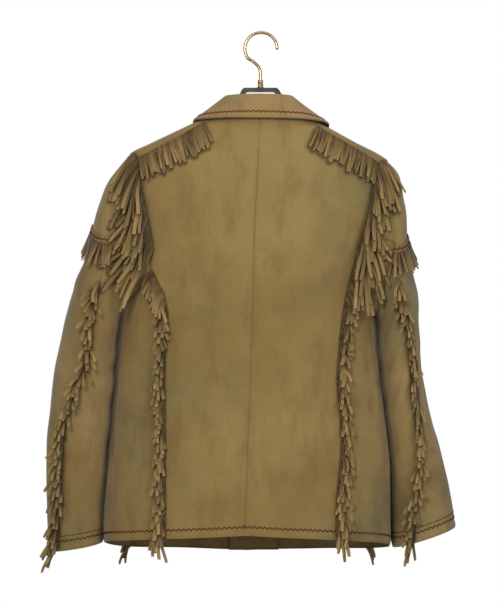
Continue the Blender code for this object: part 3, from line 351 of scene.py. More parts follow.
@dataclass
class Arm:
    """Outer surface of one sleeve; its rings are numbered from the armhole, 0, to the cuff.

    Attributes:
        side: 1 for the left sleeve, -1 for the right one.
        square: Squareness of a ring; 2 is an ellipse.
        elbow: Ring number in the middle of the elbow's creases.
        spread: How many rings the creases of the elbow spread over.
        fold: Height of those creases, mm.
        unevenness: Height of the broad and of the fine unevenness, mm.
        swell_wide: How wide the sleeve swells towards the side, degrees.
        last: Number of the ring at the cuff.
        outwards: Sign that makes the normals point outwards.
    """

    side: int
    square: float = 2.15
    elbow: float = 6.8
    spread: float = 2.2
    fold: float = 1.9
    unevenness: tuple[float, float] = (0.8, 0.35)
    swell_wide: float = 55.0
    last: int = field(init=False)
    outwards: float = field(default=1.0, init=False)

    def __post_init__(self) -> None:
        """Count the rings and find which way the normals point."""
        self.last = len(SLEEVE[self.side])
        normal = self.frame(np.array([6.0]), np.array([0.0]))[1]
        self.outwards = 1.0 if normal[0, 0] * self.side > 0 else -1.0

    def ring(self, k: int, turn: Array) -> Array:
        """Points of ring k; ring 0 is the armhole.

        Args:
            k: Ring number.
            turn: Turns round the sleeve, degrees; 90 is its back.

        Returns:
            Points, mm.
        """
        if k == 0:
            return Trunk.point(*armhole_edge(self.side, turn))
        ox, oz, ix, iz, depth, y = SLEEVE[self.side][k - 1]
        s, c = np.sin(np.radians(turn)), np.cos(np.radians(turn))
        r = (np.abs(s) ** self.square + np.abs(c) ** self.square) ** (-1.0 / self.square)
        x = (ox + ix) / 2 + (ox - ix) / 2 * r * c
        z = (oz + iz) / 2 + (oz - iz) / 2 * r * c
        return np.stack([x, y + depth * r * s, z], axis=-1)

    def point(self, s: Array, turn: Array) -> Array:
        """Points at ring number s.

        Args:
            s: Ring numbers; they may lie between rings.
            turn: Turns round the sleeve, degrees.

        Returns:
            Points, mm.
        """
        s, turn = np.broadcast_arrays(np.asarray(s, float), np.asarray(turn, float))
        rings = np.stack([self.ring(k, turn) for k in range(self.last + 1)])
        k = np.clip(np.floor(s).astype(int), 0, self.last - 1)
        t = (s - k)[..., None]

        def take(index: Array) -> Array:
            """Points of the rings that an index names."""
            return np.take_along_axis(rings, index[None, ..., None], axis=0)[0]

        b, c = take(k), take(k + 1)
        a = np.where((k > 0)[..., None], take(np.maximum(k - 1, 0)), b - (c - b) * 0.6)
        d = np.where((k + 2 <= self.last)[..., None], take(np.minimum(k + 2, self.last)), 2 * c - b)
        m0, m1 = (c - a) / 2.0, (d - b) / 2.0
        return ((2 * t**3 - 3 * t**2 + 1) * b + (t**3 - 2 * t**2 + t) * m0
                + (-2 * t**3 + 3 * t**2) * c + (t**3 - t**2) * m1)

    def frame(self, s: Array, turn: Array) -> tuple[Array, Array]:
        """Points and outward normals.

        Args:
            s: Ring numbers.
            turn: Turns round the sleeve, degrees.

        Returns:
            Points in mm and their normals.
        """
        s, turn = np.broadcast_arrays(np.asarray(s, float), np.asarray(turn, float))
        lo, hi = np.clip(s - 0.04, 0, self.last), np.clip(s + 0.04, 0, self.last)
        ds = self.point(hi, turn) - self.point(lo, turn)
        dt = self.point(s, turn + 1.0) - self.point(s, turn - 1.0)
        return self.point(s, turn), unit(np.cross(ds, dt)) * self.outwards

    def wrinkle(self, s: Array, turn: Array) -> Array:
        """Creases round the elbow and soft unevenness, mm.

        Args:
            s: Ring numbers.
            turn: Turns round the sleeve, degrees.

        Returns:
            Heights over the plain surface, mm.
        """
        angle = np.radians(turn)
        z = np.interp(s, np.arange(1, self.last + 1), [row[3] for row in SLEEVE[self.side]])
        beside = np.exp(-(((np.asarray(turn) - 180.0) / self.swell_wide) ** 2))
        swell = read(SWELL[self.side], z, 1) * beside
        # the creases are deepest on the inner side of the elbow
        inner = 0.5 - 0.5 * np.cos(angle)
        elbow = np.exp(-(((s - self.elbow) / self.spread) ** 2)) * (0.35 + 0.65 * inner)
        folds = self.fold * elbow * np.sin(4.2 * s + 1.2 * np.sin(angle * 2))
        broad, fine = self.unevenness
        soft = broad * ripple(s * 1.6, angle * 3.0, 1.1 + self.side)
        soft = soft + fine * ripple(s * 4.1, angle * 7.0, 0.4)
        # the armhole's own ring stays plain, so that it keeps to the seam
        return ease(s / 1.5) * (folds + soft) + swell

    def seam(self, s: Array) -> Array:
        """Turn of the back seam at ring number s."""
        z = self.point(s, np.full(np.shape(s), 90.0))[..., 2]
        return 90.0 + (read(SLEEVE_SEAM[self.side], z, 1) - 90.0) * ease(np.asarray(s) / 3.0)


def neckline(angle: Array) -> Array:
    """Height of the neck edge.

    Args:
        angle: Angles from centre back, degrees.

    Returns:
        Heights, mm.
    """
    a = wrap(angle)
    drop = NECK_DROP * (np.maximum(a - 90.0, 0) / 90.0) ** 1.5
    return np.where(a <= 90, NECK_TOP, NECK_TOP - drop)


def wrap(angle: Array) -> Array:
    """Angle from centre back without its sign."""
    a = np.abs(np.asarray(angle, float)) % 360.0
    return np.where(a > 180.0, 360.0 - a, a)


def hem(angle: Array) -> Array:
    """Height of the hem.

    Args:
        angle: Angles from centre back, degrees.

    Returns:
        Heights, mm.
    """
    signed = (np.asarray(angle, float) + 180.0) % 360.0 - 180.0
    side = np.where(np.abs(signed) < 90, ease((signed + 30) / 60.0), np.where(signed > 0, 1.0, 0.0))
    edge = ease((180 - np.abs(signed)) / 30.0) * 0.5
    side = np.where(np.abs(signed) > 150, np.where(signed > 0, 0.5 + edge, 0.5 - edge), side)
    a = wrap(angle)
    return side * read(HEM, a, 1) + (1 - side) * read(HEM, a, 2)


def armhole_edge(side: int, turn: Array) -> tuple[Array, Array]:
    """Angle and height of the armhole seam; turn 0 is its top, 90 the back.

    Args:
        side: 1 for the left, -1 for the right.
        turn: Turns round the armhole, degrees.

    Returns:
        Angles of the body and heights.
    """
    turn = np.asarray(turn, float) % 360.0
    middle, half = (ARM_TOP[side] + ARM_LOW[side]) / 2.0, (ARM_TOP[side] - ARM_LOW[side]) / 2.0
    z = middle + half * np.cos(np.radians(turn))
    back = 90.0 - read(ARMHOLE, turn, 1)
    front = 90.0 + read(ARMHOLE, 360.0 - turn, 2)
    return side * np.where(turn <= 180, back, front), z


def armhole_turn(side: int, z: Array) -> Array:
    """Turn round the armhole at a height."""
    middle, half = (ARM_TOP[side] + ARM_LOW[side]) / 2.0, (ARM_TOP[side] - ARM_LOW[side]) / 2.0
    return np.degrees(np.arccos(np.clip((np.asarray(z, float) - middle) / half, -1, 1)))


def panel_turn(side: int, z: Array, panel: Panel) -> Array:
    """Turn round the armhole at a height, on the side of one panel."""
    turn = armhole_turn(side, z)
    return turn if panel is Panel.BACK else 360.0 - turn


def outer_angle(side: int, z: Array, panel: Panel) -> Array:
    """Outer limit of a back or front panel at a height.

    Args:
        side: 1 for the left, -1 for the right.
        z: Heights, mm.
        panel: Back or front.

    Returns:
        Angles of the body, with their sign.
    """
    z = np.asarray(z, float)
    start = SEAM_START[side, panel.value]
    hole = armhole_edge(side, panel_turn(side, z, panel))[0]
    top = armhole_edge(side, panel_turn(side, start, panel))[0]
    rows = SEAM_BACK[side] if panel is Panel.BACK else SEAM_FRONT
    low = side * read(rows, z, 1) + (top - side * read(rows, start, 1)) * ease(1 - (start - z) / 60.0)
    return np.where(z >= ARM_TOP[side], side * 90.0, np.where(z >= start, hole, low))


def back_angle(side: int, x: Array, z: Array) -> Array:
    """Angle from centre back, without its sign, of the points of the back at x and z.

    Args:
        side: 1 for the left, -1 for the right.
        x: Places across the back, mm.
        z: Heights, mm.

    Returns:
        Angles from 0 to 90.
    """
    low, high = np.zeros(np.shape(x)), np.full(np.shape(x), 90.0)
    for _ in range(30):
        middle = (low + high) / 2.0
        inside = Trunk.point(side * middle, z)[..., 0] * side < x * side
        low, high = np.where(inside, middle, low), np.where(inside, high, middle)
    return low


def centre_back(z: Array) -> Array:
    """Angle of the centre back seam.

    Args:
        z: Heights, mm.

    Returns:
        Angles of the seam.
    """
    left, right = read(TORSO, z, 1), read(TORSO, z, 2)
    across = (read(CENTRE_SEAM, z, 1) - (left + right) / 2.0) / ((left - right) / 2.0)
    return np.degrees(np.arctan(across))


def closing_edge(side: int) -> Callable[[Array], Array]:
    """Angle of the closing edge of a front.

    Args:
        side: 1 for the left, -1 for the right.

    Returns:
        Function that gives the angle at a height.
    """

    def angle(z: Array) -> Array:
        """Angle at a height."""
        half = (read(TORSO, z, 1) - read(TORSO, z, 2)) / 2.0
        return side * (180.0 + np.degrees(np.arcsin(OVERLAP[side] / half)))

    return angle


def linear(colour: str) -> tuple[float, float, float, float]:
    """Turn an sRGB hex colour into linear values."""
    parts = [int(colour[i:i + 2], 16) / 255.0 for i in (1, 3, 5)]
    return (*(c / 12.92 if c <= 0.04045 else ((c + 0.055) / 1.055) ** 2.4 for c in parts), 1.0)


def repeats(size: float) -> float:
    """Texture scale of a pattern whose marks are a size in mm apart."""
    return 1.0 / (size * MM)


@dataclass(frozen=True)
class Leather:
    """Colours and nap of one leather.

    Attributes:
        name: Name of the material.
        base: Main colour.
        light: Colour where the nap is rubbed.
        dark: Colour of stains, streaks and seams.
        green: Colour of the smoky patches.
        brown: Strength of the brown stains.
        roughness: Middle of the roughness.
        sheen: Weight of the soft sheen of the nap.
        grain: Strength of the finest bump.
        shade: How far narrow gaps are darkened with painted shade.
    """

    name: str
    base: str
    light: str
    dark: str
    green: str
    brown: float
    roughness: float = 0.88
    sheen: float = 0.25
    grain: float = 0.35
    shade: float = 0.6


# buffed and smoked deerskin: matt and uneven in tone, with a faint sheen towards its edges
DEERSKIN = Leather("napped_deerskin", "#987D49", "#A98F59", "#7C6438", "#7F7B52", 0.45)
DEERSKIN_SLEEVE = Leather("napped_deerskin_sleeve", "#987E4D", "#AA9160", "#735A34", "#78734C", 0.6)
# the same deerskin made a little darker for the side panels: painted shade on the sides
DEERSKIN_PAINTED_SHADE_SIDE = Leather("napped_deerskin_side", "#947B4A", "#A48D5A", "#705A33", "#78754E", 0.6)
DEERSKIN_COLLAR = Leather("napped_deerskin_collar", "#A1824E", "#B09260", "#80663A", "#8A8052", 0.4)
# the same skin cut into strands: paler and warmer where its edges are worn
STRAND = Leather("cut_deerskin_strand", "#AC8B54", "#C4A872", "#5E4826", "#837A4E", 0.5, 0.85, 0.3, 0.5)
# flesh side of the skin: brown and quite dull
SUEDE = Leather("deerskin_flesh_side", "#7E6740", "#907850", "#5C4628", "#706642", 0.3, 0.95, 0.15,
                0.5, 0.1)
# undyed split leather: the light strip under the hem
FACING = Leather("undyed_split_leather", "#E2D2AA", "#EADCB8", "#C4B082", "#D0C69C", 0.2, 0.8, 0.2,
                 0.3, 0.0)
# colour of the painted shadow under the strands
STRAND_SHADOW_COLOUR = "#3A2C18"
# colour of the painted shade in narrow gaps
GAP_SHADE = "#2C200F"
# colour of the painted shade at the strands' roots
ROOT_SHADE = "#4E3A1E"
# colour of the painted shade where strands crowd together
TANGLE_SHADE = "#1E1408"


@dataclass(frozen=True)
class Thread:
    """Colours of a sewing thread."""

    name: str
    colour: str
    worn: str


# twisted cotton: dull, with a fine twist that breaks up the light
RED_THREAD = Thread("twisted_red_thread", "#570C10", "#7E1917")
DARK_THREAD = Thread("twisted_dark_thread", "#2A2412", "#45391E")


@dataclass(frozen=True)
class Hard:
    """Colours and gloss of a hard finish."""

    name: str
    colour: str
    worn: str
    roughness: float
    metallic: float


# drawn and polished brass: bright, with a pale film from handling
BRASS = Hard("polished_brass", "#D3B287", "#CBA878", 0.2, 1.0)
# injection-moulded plastic: nearly black, with a soft highlight
FRAME_PLASTIC = Hard("moulded_plastic_dark_brown", "#2E1C12", "#3B261A", 0.4, 0.0)
# pressed plastic like horn: brown, with a soft highlight
BUTTON_PLASTIC = Hard("moulded_plastic_horn_brown", "#5A3A22", "#6E4C2E", 0.4, 0.0)


class Nodes:
    """Small helper that adds and joins the shader nodes of one material."""

    def __init__(self, name: str) -> None:
        """Start a material and find its place.

        Args:
            name: Name of the material.
        """
        self.material = bpy.data.materials.new(name)
        self.material.use_nodes = True
        self.tree = self.material.node_tree
        self.shader = self.tree.nodes["Principled BSDF"]
        self.where = self.add("ShaderNodeTexCoord").outputs["Object"]

    def add(self, kind: str, inputs: dict[str | int, object] | None = None,
            **options: object) -> bpy.types.Node:
        """Add a node; inputs are values or sockets.

        Args:
            kind: Type of the node.
            inputs: Values or sockets for its inputs.
            options: Settings of the node.

        Returns:
            The node.
        """
        node = self.tree.nodes.new(kind)
        for key, value in options.items():
            setattr(node, key, value)
        for key, value in (inputs or {}).items():
            if isinstance(value, bpy.types.NodeSocket):
                self.tree.links.new(value, node.inputs[key])
            else:
                node.inputs[key].default_value = value
        return node

    def feed(self, socket: str, value: object) -> None:
        """Give the shader a value or a socket.

        Args:
            socket: Input of the shader.
            value: Value or socket.
        """
        if isinstance(value, bpy.types.NodeSocket):
            self.tree.links.new(value, self.shader.inputs[socket])
        else:
            self.shader.inputs[socket].default_value = value

    def value(self, name: str) -> bpy.types.NodeSocket:
        """Value of an attribute of the mesh."""
        return self.add("ShaderNodeAttribute", attribute_name=name).outputs["Fac"]

    def noise(self, size: float, detail: float = 4.0, rough: float = 0.55,
              where: bpy.types.NodeSocket | None = None) -> bpy.types.NodeSocket:
        """Uneven tone.

        Args:
            size: Size of the marks, mm.
            detail: Octaves.
            rough: Weight of the finer octaves.
            where: Place to read it at; the plain place if left out.

        Returns:
            Values from 0 to 1.
        """
        return self.add("ShaderNodeTexNoise", {
            "Vector": where or self.where, "Scale": repeats(size), "Detail": detail,
            "Roughness": rough}).outputs["Fac"]

    def gap(self, reach: float) -> bpy.types.NodeSocket:
        """How open a place is, from 0 in a narrow gap to 1."""
        return self.add("ShaderNodeAmbientOcclusion", {"Distance": reach * MM}, samples=8).outputs["AO"]

    def bump(self, height: bpy.types.NodeSocket, strength: float, depth: float,
             below: bpy.types.Node | None = None) -> bpy.types.Node:
        """Relief.

        Args:
            height: Height to follow.
            strength: Strength, 0 to 1.
            depth: Depth, mm.
            below: Coarser or finer relief that it lies on.

        Returns:
            The node.
        """
        inputs = {"Strength": strength, "Distance": depth * MM, "Height": height}
        if below is not None:
            inputs["Normal"] = below.outputs[0]
        return self.add("ShaderNodeBump", inputs)

    def span(self, value: bpy.types.NodeSocket, low: float, high: float, to_low: float = 0.0,
             to_high: float = 1.0) -> bpy.types.NodeSocket:
        """Map one range of values onto another, held at its ends."""
        return self.add("ShaderNodeMapRange", {0: value, 1: low, 2: high, 3: to_low, 4: to_high}).outputs[0]

    def blend(self, share: object, first: object, second: object) -> bpy.types.NodeSocket:
        """Mix two colours.

        Args:
            share: How much of the second.
            first: Colour or socket.
            second: Hex colour.

        Returns:
            The mixed colour.
        """
        second = linear(second) if isinstance(second, str) else second
        node = self.add("ShaderNodeMix", data_type="RGBA", blend_type="MIX")
        for key, value in ((0, share), (6, first), (7, second)):
            if isinstance(value, bpy.types.NodeSocket):
                self.tree.links.new(value, node.inputs[key])
            else:
                node.inputs[key].default_value = value
        return node.outputs[2]


def leather(finish: Leather) -> bpy.types.Material:
    """Napped leather with stains, rubbed light places, darker seams and a fine grain.

    Args:
        finish: Colours and nap.

    Returns:
        The material.
    """
    nodes = Nodes(finish.name)
    middle = nodes.noise(45.45, 5.0, 0.6)
    # patches the width of a hand, where the skin was thicker or thinner
    colour = nodes.blend(nodes.span(nodes.noise(153.8, 3.0, 0.6), 0.40, 0.66), linear(finish.base),
                         finish.light)
    # smoky patches and brown stains
    at = nodes.add("ShaderNodeVectorMath", {0: nodes.where, 1: (0.31, 0.17, 0.53)}).outputs[0]
    green = nodes.noise(200.0, 4.0, 0.62, at)
    colour = nodes.blend(nodes.span(green, 0.50, 0.68, 0.0, 0.85), colour, finish.green)
    at = nodes.add("ShaderNodeVectorMath", {0: nodes.where, 1: (1.7, 0.9, 0.2)}).outputs[0]
    brown = nodes.noise(117.65, 5.0, 0.65, at)
    colour = nodes.blend(nodes.span(brown, 0.55, 0.75, 0.0, finish.brown), colour, finish.dark)
    colour = nodes.blend(nodes.span(middle, 0.35, 0.7, 0.0, 0.34), colour, finish.light)
    # streaks that run down the piece
    at = nodes.add("ShaderNodeMapping", {"Vector": nodes.where, "Scale": (1.0, 1.0, 0.28)}).outputs[0]
    streak = nodes.noise(29.412, 5.0, 0.68, at)
    colour = nodes.blend(nodes.span(streak, 0.5, 0.75, 0.0, 0.6), colour, finish.dark)
    # flecks of 4 mm, coarser than the real ones so that they show
    fleck = nodes.noise(3.84615, 3.0, 0.7)
    colour = nodes.blend(nodes.span(fleck, 0.52, 0.72, 0.0, 0.22), colour, finish.dark)
    colour = nodes.blend(nodes.span(nodes.value("rim"), 0.0, 1.0, 0.0, 0.22), colour, finish.dark)
    # painted shadow of the strands on the leather under them
    colour = nodes.blend(nodes.span(nodes.value("under"), 0.0, 1.0, 0.0, 0.72), colour, STRAND_SHADOW_COLOUR)
    # painted shade in narrow gaps between parts
    colour = nodes.blend(nodes.span(nodes.gap(12.0), 0.3, 0.9, finish.shade, 0.0), colour, GAP_SHADE)
    nodes.feed("Base Color", colour)
    nodes.feed("Roughness", nodes.span(middle, 0.3, 0.7, finish.roughness - 0.08, finish.roughness + 0.08))
    nodes.feed("Sheen Weight", finish.sheen)
    nodes.feed("Sheen Roughness", 0.5)
    nodes.feed("Specular IOR Level", 0.25)
    # nap of 0.7 mm over pores 2.4 mm apart, only seen close by, and soft creases 13 mm apart
    grain = nodes.add("ShaderNodeTexVoronoi", {"Vector": nodes.where, "Scale": repeats(2.38095)},
                      feature="DISTANCE_TO_EDGE").outputs["Distance"]
    height = nodes.add("ShaderNodeMath", {0: nodes.noise(0.714286, 2.0, 0.6),
                                          1: nodes.span(grain, 0.0, 0.25, 0.0, 0.5)},
                       operation="ADD").outputs[0]
    fine = nodes.bump(height, finish.grain, 0.3)
    nodes.feed("Normal", nodes.bump(nodes.noise(13.3333, 5.0, 0.6), 0.5, 1.4, fine).outputs[0])
    return nodes.material


def strand_leather(finish: Leather) -> bpy.types.Material:
    """Cut strands: pale worn tips, painted shade at the roots and between strands, each strand its own tone.

    Args:
        finish: Colours and nap.

    Returns:
        The material.
    """
    nodes = Nodes(finish.name)
    along = nodes.value("along")
    colour = nodes.blend(nodes.value("tone"), linear(finish.dark), finish.base)
    colour = nodes.blend(nodes.span(along, 0.45, 1.0, 0.0, 0.42), colour, finish.light)
    # painted shade towards the roots of the strands
    colour = nodes.blend(nodes.span(along, 0.0, 0.5, 0.55, 0.0), colour, ROOT_SHADE)
    # smoky spots of 17 mm
    spots = nodes.noise(16.6667, 4.0, 0.65)
    colour = nodes.blend(nodes.span(spots, 0.5, 0.72, 0.0, 0.5), colour, finish.green)
    # painted shade where the strands crowd together
    colour = nodes.blend(nodes.span(nodes.gap(8.0), 0.3, 0.95, 0.92, 0.0), colour, TANGLE_SHADE)
    nodes.feed("Base Color", colour)
    nodes.feed("Roughness", finish.roughness)
    nodes.feed("Sheen Weight", finish.sheen)
    nodes.feed("Specular IOR Level", 0.25)
    # nap of 1.1 mm, only seen close by
    nodes.feed("Normal", nodes.bump(nodes.noise(1.11111, 3.0, 0.6), finish.grain, 0.4).outputs[0])
    return nodes.material


def thread(finish: Thread) -> bpy.types.Material:
    """Sewing thread, worn pale in places 22 mm apart and twisted every millimetre.

    Args:
        finish: Colours.

    Returns:
        The material.
    """
    nodes = Nodes(finish.name)
    worn = nodes.span(nodes.noise(22.2222, 3.0, 0.6), 0.35, 0.7)
    nodes.feed("Base Color", nodes.blend(worn, linear(finish.colour), finish.worn))
    nodes.feed("Roughness", 0.6)
    twist = nodes.add("ShaderNodeTexWave", {"Vector": nodes.where, "Scale": repeats(1.11111)})
    nodes.feed("Normal", nodes.bump(twist.outputs["Fac"], 0.4, 0.3).outputs[0])
    return nodes.material


def hard(finish: Hard) -> bpy.types.Material:
    """Metal or moulded finish with handling wear in places 11 to 17 mm apart.

    Args:
        finish: Colours and gloss.

    Returns:
        The material.
    """
    nodes = Nodes(finish.name)
    worn = nodes.span(nodes.noise(11.1111, 4.0, 0.6), 0.4, 0.7)
    nodes.feed("Base Color", nodes.blend(worn, linear(finish.colour), finish.worn))
    nodes.feed("Metallic", finish.metallic)
    nodes.feed("Roughness", nodes.span(nodes.noise(16.6667, 3.0), 0.35, 0.7, finish.roughness * 0.85,
                                       finish.roughness * 1.2))
    nodes.feed("Normal", nodes.bump(nodes.noise(1.42857, 2.0), 0.05, 0.1).outputs[0])
    return nodes.material


def link(mesh: bpy.types.Mesh, name: str) -> bpy.types.Object:
    """Link a mesh as an object that rides on the body, and report it.

    Args:
        mesh: Finished mesh.
        name: Name of the piece.

    Returns:
        The object.
    """
    made = bpy.data.objects.new(name, mesh)
    bpy.context.scene.collection.objects.link(made)
    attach(made, BODY)
    LOG.info("%s: %d faces", name, len(mesh.polygons))
    return made


def mesh_of(name: str, verts: Array, faces: list[tuple[int, ...]], materials: list[bpy.types.Material],
            smooth: bool = True) -> bpy.types.Mesh:
    """Make a mesh from millimetre points.

    Args:
        name: Name of the mesh.
        verts: Points, mm.
        faces: Corners of each face.
        materials: Materials in the order of their slots.
        smooth: Whether its faces are shaded smooth.

    Returns:
        The mesh.
    """
    mesh = bpy.data.meshes.new(name)
    mesh.from_pydata((np.asarray(verts) * MM).tolist(), [], faces)
    for material in materials:
        mesh.materials.append(material)
    mesh.polygons.foreach_set("use_smooth", [smooth] * len(mesh.polygons))
    return mesh


def give(mesh: bpy.types.Mesh, name: str, values: Array) -> None:
    """Store one value for each point of a mesh, for its material to read."""
    mesh.attributes.new(name, "FLOAT", "POINT").data.foreach_set("value", values)


def ring_faces(sections: int, corners: int) -> list[list[int]]:
    """Quads of a closed bar, whose corners are numbered section by section, and its two ends.

    Args:
        sections: Number of sections.
        corners: Corners of a section.

    Returns:
        Corners of each face.
    """
    k, e = np.arange(sections - 1)[:, None] * corners, np.arange(corners)[None, :]
    f = (e + 1) % corners
    quad = np.stack([k + e, k + f, k + f + corners, k + e + corners], axis=-1).reshape(-1, 4)
    last = corners * (sections - 1)
    return quad.tolist() + [list(range(corners - 1, -1, -1)), list(range(last, last + corners))]


def grid_faces(rows: int, cols: int) -> Array:
    """Quads of a grid of points, numbered row by row."""
    ids = np.arange(rows * cols).reshape(rows, cols)
    return np.stack([ids[:-1, :-1], ids[:-1, 1:], ids[1:, 1:], ids[1:, :-1]], axis=-1).reshape(-1, 4)


@dataclass
class Shell:
    """One cut piece of leather as a closed thin shell.

    Attributes:
        name: Name of the piece.
        node: CAD node that it replaces.
        points: Grid of outer points, rows by columns, mm.
        normals: Outward normals of the grid.
        wall: Thickness in mm.
        gaps: How far it stays back at first and last column, first and last row.
        bump: Height added along the normals.
        inward: Directions of the first row's wall, where a sleeve meets the body.
        made: The finished object.
        outer: Outer points of the finished shell.
    """

    name: str
    node: str
    points: Array
    normals: Array
    wall: float
    gaps: tuple[float, float, float, float]
    bump: Array | float = 0.0
    inward: Array | None = None
    made: bpy.types.Object | None = field(default=None, init=False)
    outer: Array = field(default_factory=lambda: np.zeros(0), init=False)

    def from_edge(self) -> Array:
        """Distance of each point from the nearest edge, mm.

        Returns:
            Distances, in the shape of the grid.
        """
        p = self.points
        across = np.linalg.norm(np.diff(p, axis=1), axis=-1)
        down = np.linalg.norm(np.diff(p, axis=0), axis=-1)
        u = np.concatenate([np.zeros((p.shape[0], 1)), np.cumsum(across, axis=1)], axis=1)
        v = np.concatenate([np.zeros((1, p.shape[1])), np.cumsum(down, axis=0)], axis=0)
        return np.minimum(np.minimum(u, u[:, -1:] - u), np.minimum(v, v[-1:, :] - v))

    def relief(self, near: Array) -> Array:
        """Height over the plain surface: creases, a groove in the seam and a ridge beside it."""
        seam = -0.55 * np.exp(-((near / 1.3) ** 2)) + 0.45 * np.exp(-(((near - 5.0) / 2.4) ** 2))
        return np.asarray(self.bump) * ease((near - 1.0) / 14.0) + seam

    def build(self, out: bpy.types.Material, inside: bpy.types.Material) -> None:
        """Make the shell.

        Args:
            out: Material of the outer face and the rim.
            inside: Material of the inner face.
        """
        near = self.from_edge()
        n = self.normals
        outer = self.points + n * self.relief(near)[..., None]
        inner = outer - n * self.wall
        if self.inward is not None:
            inner[0] = outer[0] + self.inward * self.wall
        for grid in (outer, inner):
            self.stay_back(grid)
        self.outer = outer
        rows, cols = outer.shape[:2]
        ids, shift = np.arange(rows * cols).reshape(rows, cols), rows * cols
        quad = grid_faces(rows, cols)
        mid_r, mid_c = rows // 2, cols // 2
        a, b, c = outer[mid_r, mid_c], outer[mid_r, mid_c + 1], outer[mid_r + 1, mid_c]
        turned = np.dot(np.cross(b - a, c - a), n[mid_r, mid_c]) < 0
        front = (quad[:, ::-1] if turned else quad).tolist()
        back = ((quad if turned else quad[:, ::-1]) + shift).tolist()
        loop = np.concatenate([ids[:, 0], ids[-1, 1:], ids[-2::-1, -1], ids[0, -2:0:-1]]).tolist()
        rim = [(a, b, b + shift, a + shift) for a, b in zip(loop, loop[1:] + loop[:1])]
        rim = rim if turned else [face[::-1] for face in rim]
        verts = np.concatenate([outer.reshape(-1, 3), inner.reshape(-1, 3)])
        mesh = mesh_of(self.name, verts, front + back + rim, [out, inside])
        faces = [Face.OUT] * len(front) + [Face.IN] * len(back) + [Face.OUT] * len(rim)
        mesh.polygons.foreach_set("material_index", [face.value for face in faces])
        soft = np.exp(-((near / 2.6) ** 2)).reshape(-1)
        give(mesh, "rim", np.concatenate([soft, soft]))
        sharp = mesh.attributes.new("sharp_face", "BOOLEAN", "FACE")
        sharp.data.foreach_set("value", [False] * (len(front) + len(back)) + [True] * len(rim))
        self.made = link(mesh, self.name)
        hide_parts(self.node)

    def stay_back(self, grid: Array) -> None:
        """Move the edges back from the seams, square to each edge.

        Args:
            grid: Points of one face; they are changed in place.
        """

        def shifted(edge: Array, inside: Array, gap: float) -> Array:
            """Points of an edge, moved back by a gap."""
            run = unit(np.gradient(edge, axis=0))
            away = unit(inside - edge)
            away = unit(away - run * np.sum(away * run, axis=-1, keepdims=True))
            return edge + away * gap

        first = shifted(grid[:, 0], grid[:, 1], self.gaps[0])
        last = shifted(grid[:, -1], grid[:, -2], self.gaps[1])
        grid[:, 0], grid[:, -1] = first, last
        low = shifted(grid[0], grid[1], self.gaps[2])
        high = shifted(grid[-1], grid[-2], self.gaps[3])
        grid[0], grid[-1] = low, high

    def flat(self) -> tuple[float, float, float]:
        """Width, length and area of the cut in metres.

        Returns:
            Width and length in metres, and area in square metres.
        """
        p = self.points
        across = np.linalg.norm(np.diff(p, axis=1), axis=-1).sum(axis=1).max()
        down = np.linalg.norm(np.diff(p, axis=0), axis=-1).sum(axis=0).max()
        e1, e2 = p[:-1, 1:] - p[:-1, :-1], p[1:, :-1] - p[:-1, :-1]
        area = np.linalg.norm(np.cross(e1, e2), axis=-1).sum()
        return across * MM, down * MM, area * MM * MM


def panel_grid(side: int, panel: Panel, cols: int, rows: int) -> tuple[Array, Array]:
    """Angles and heights of a back or front panel, from its outer edge to its centre.

    Args:
        side: 1 for the left, -1 for the right.
        panel: Back or front.
        cols: Points across.
        rows: Points down.

    Returns:
        Angles and heights, row by row from the hem.
    """
    back = panel is Panel.BACK
    start, top = SEAM_START[side, panel.value], ARM_TOP[side]
    turn = armhole_turn(side, start)
    step = np.linspace(0, 1, rows)
    # shares of the rows at which the outer edge passes from the seam to the armhole, and from there
    # to the shoulder
    knee, crown = (0.62, 0.895) if back else (0.64, 0.955)
    low = float(hem(outer_angle(side, NEAR_HEM, panel)))
    t1, t2 = np.clip(step / knee, 0, 1), np.clip((step - knee) / (crown - knee), 0, 1)
    t3 = np.clip((step - crown) / (1 - crown), 0, 1)
    hole = armhole_edge(side, turn * (1 - t2) if back else 360.0 - turn * (1 - t2))[1]
    zo = np.where(step <= knee, low + (start - low) * t1,
                  np.where(step <= crown, hole, top + (NECK_TOP - top) * t3))
    centre = centre_back if back else closing_edge(side)
    low_c = float(hem(centre(MIDDLE_HEM)))
    top_c = float(neckline(centre(NECK_TOP if back else MIDDLE_NECK)))
    zc = low_c + (top_c - low_c) * step
    u = np.linspace(0, 1, cols)[None, :]
    zo, zc = zo[:, None], zc[:, None]
    ao, ac = outer_angle(side, zo, panel), centre(zc)
    a = ao + (ac - ao) * u
    z = zo + (zc - zo) * u * u
    v = step[:, None]
    return a, z + (neckline(a[-1:]) - z[-1:]) * v**5 + (hem(a[:1]) - z[:1]) * (1 - v) ** 5


def side_grid(side: int, cols: int, rows: int) -> tuple[Array, Array]:
    """Angles and heights of a side panel from its back to its front edge.

    Args:
        side: 1 for the left, -1 for the right.
        cols: Points across.
        rows: Points down.

    Returns:
        Angles and heights, row by row from the hem.
    """
    v = np.linspace(0, 1, rows)[:, None]
    turns, edges = [], []
    for panel in Panel:
        start = SEAM_START[side, panel.value]
        low = hem(outer_angle(side, NEAR_HEM, panel))
        turns.append(float(panel_turn(side, start, panel)))
        edges.append(outer_angle(side, low + (start - low) * v, panel))
    u = np.linspace(0, 1, cols)
    a_top, z_top = armhole_edge(side, turns[0] + (turns[1] - turns[0]) * u)
    a = edges[0] + (edges[1] - edges[0]) * u[None, :]
    a = a + (a_top - a[-1:]) * v**4
    z_low = hem(a[:1])
    return a, z_low + (z_top[None, :] - z_low) * v


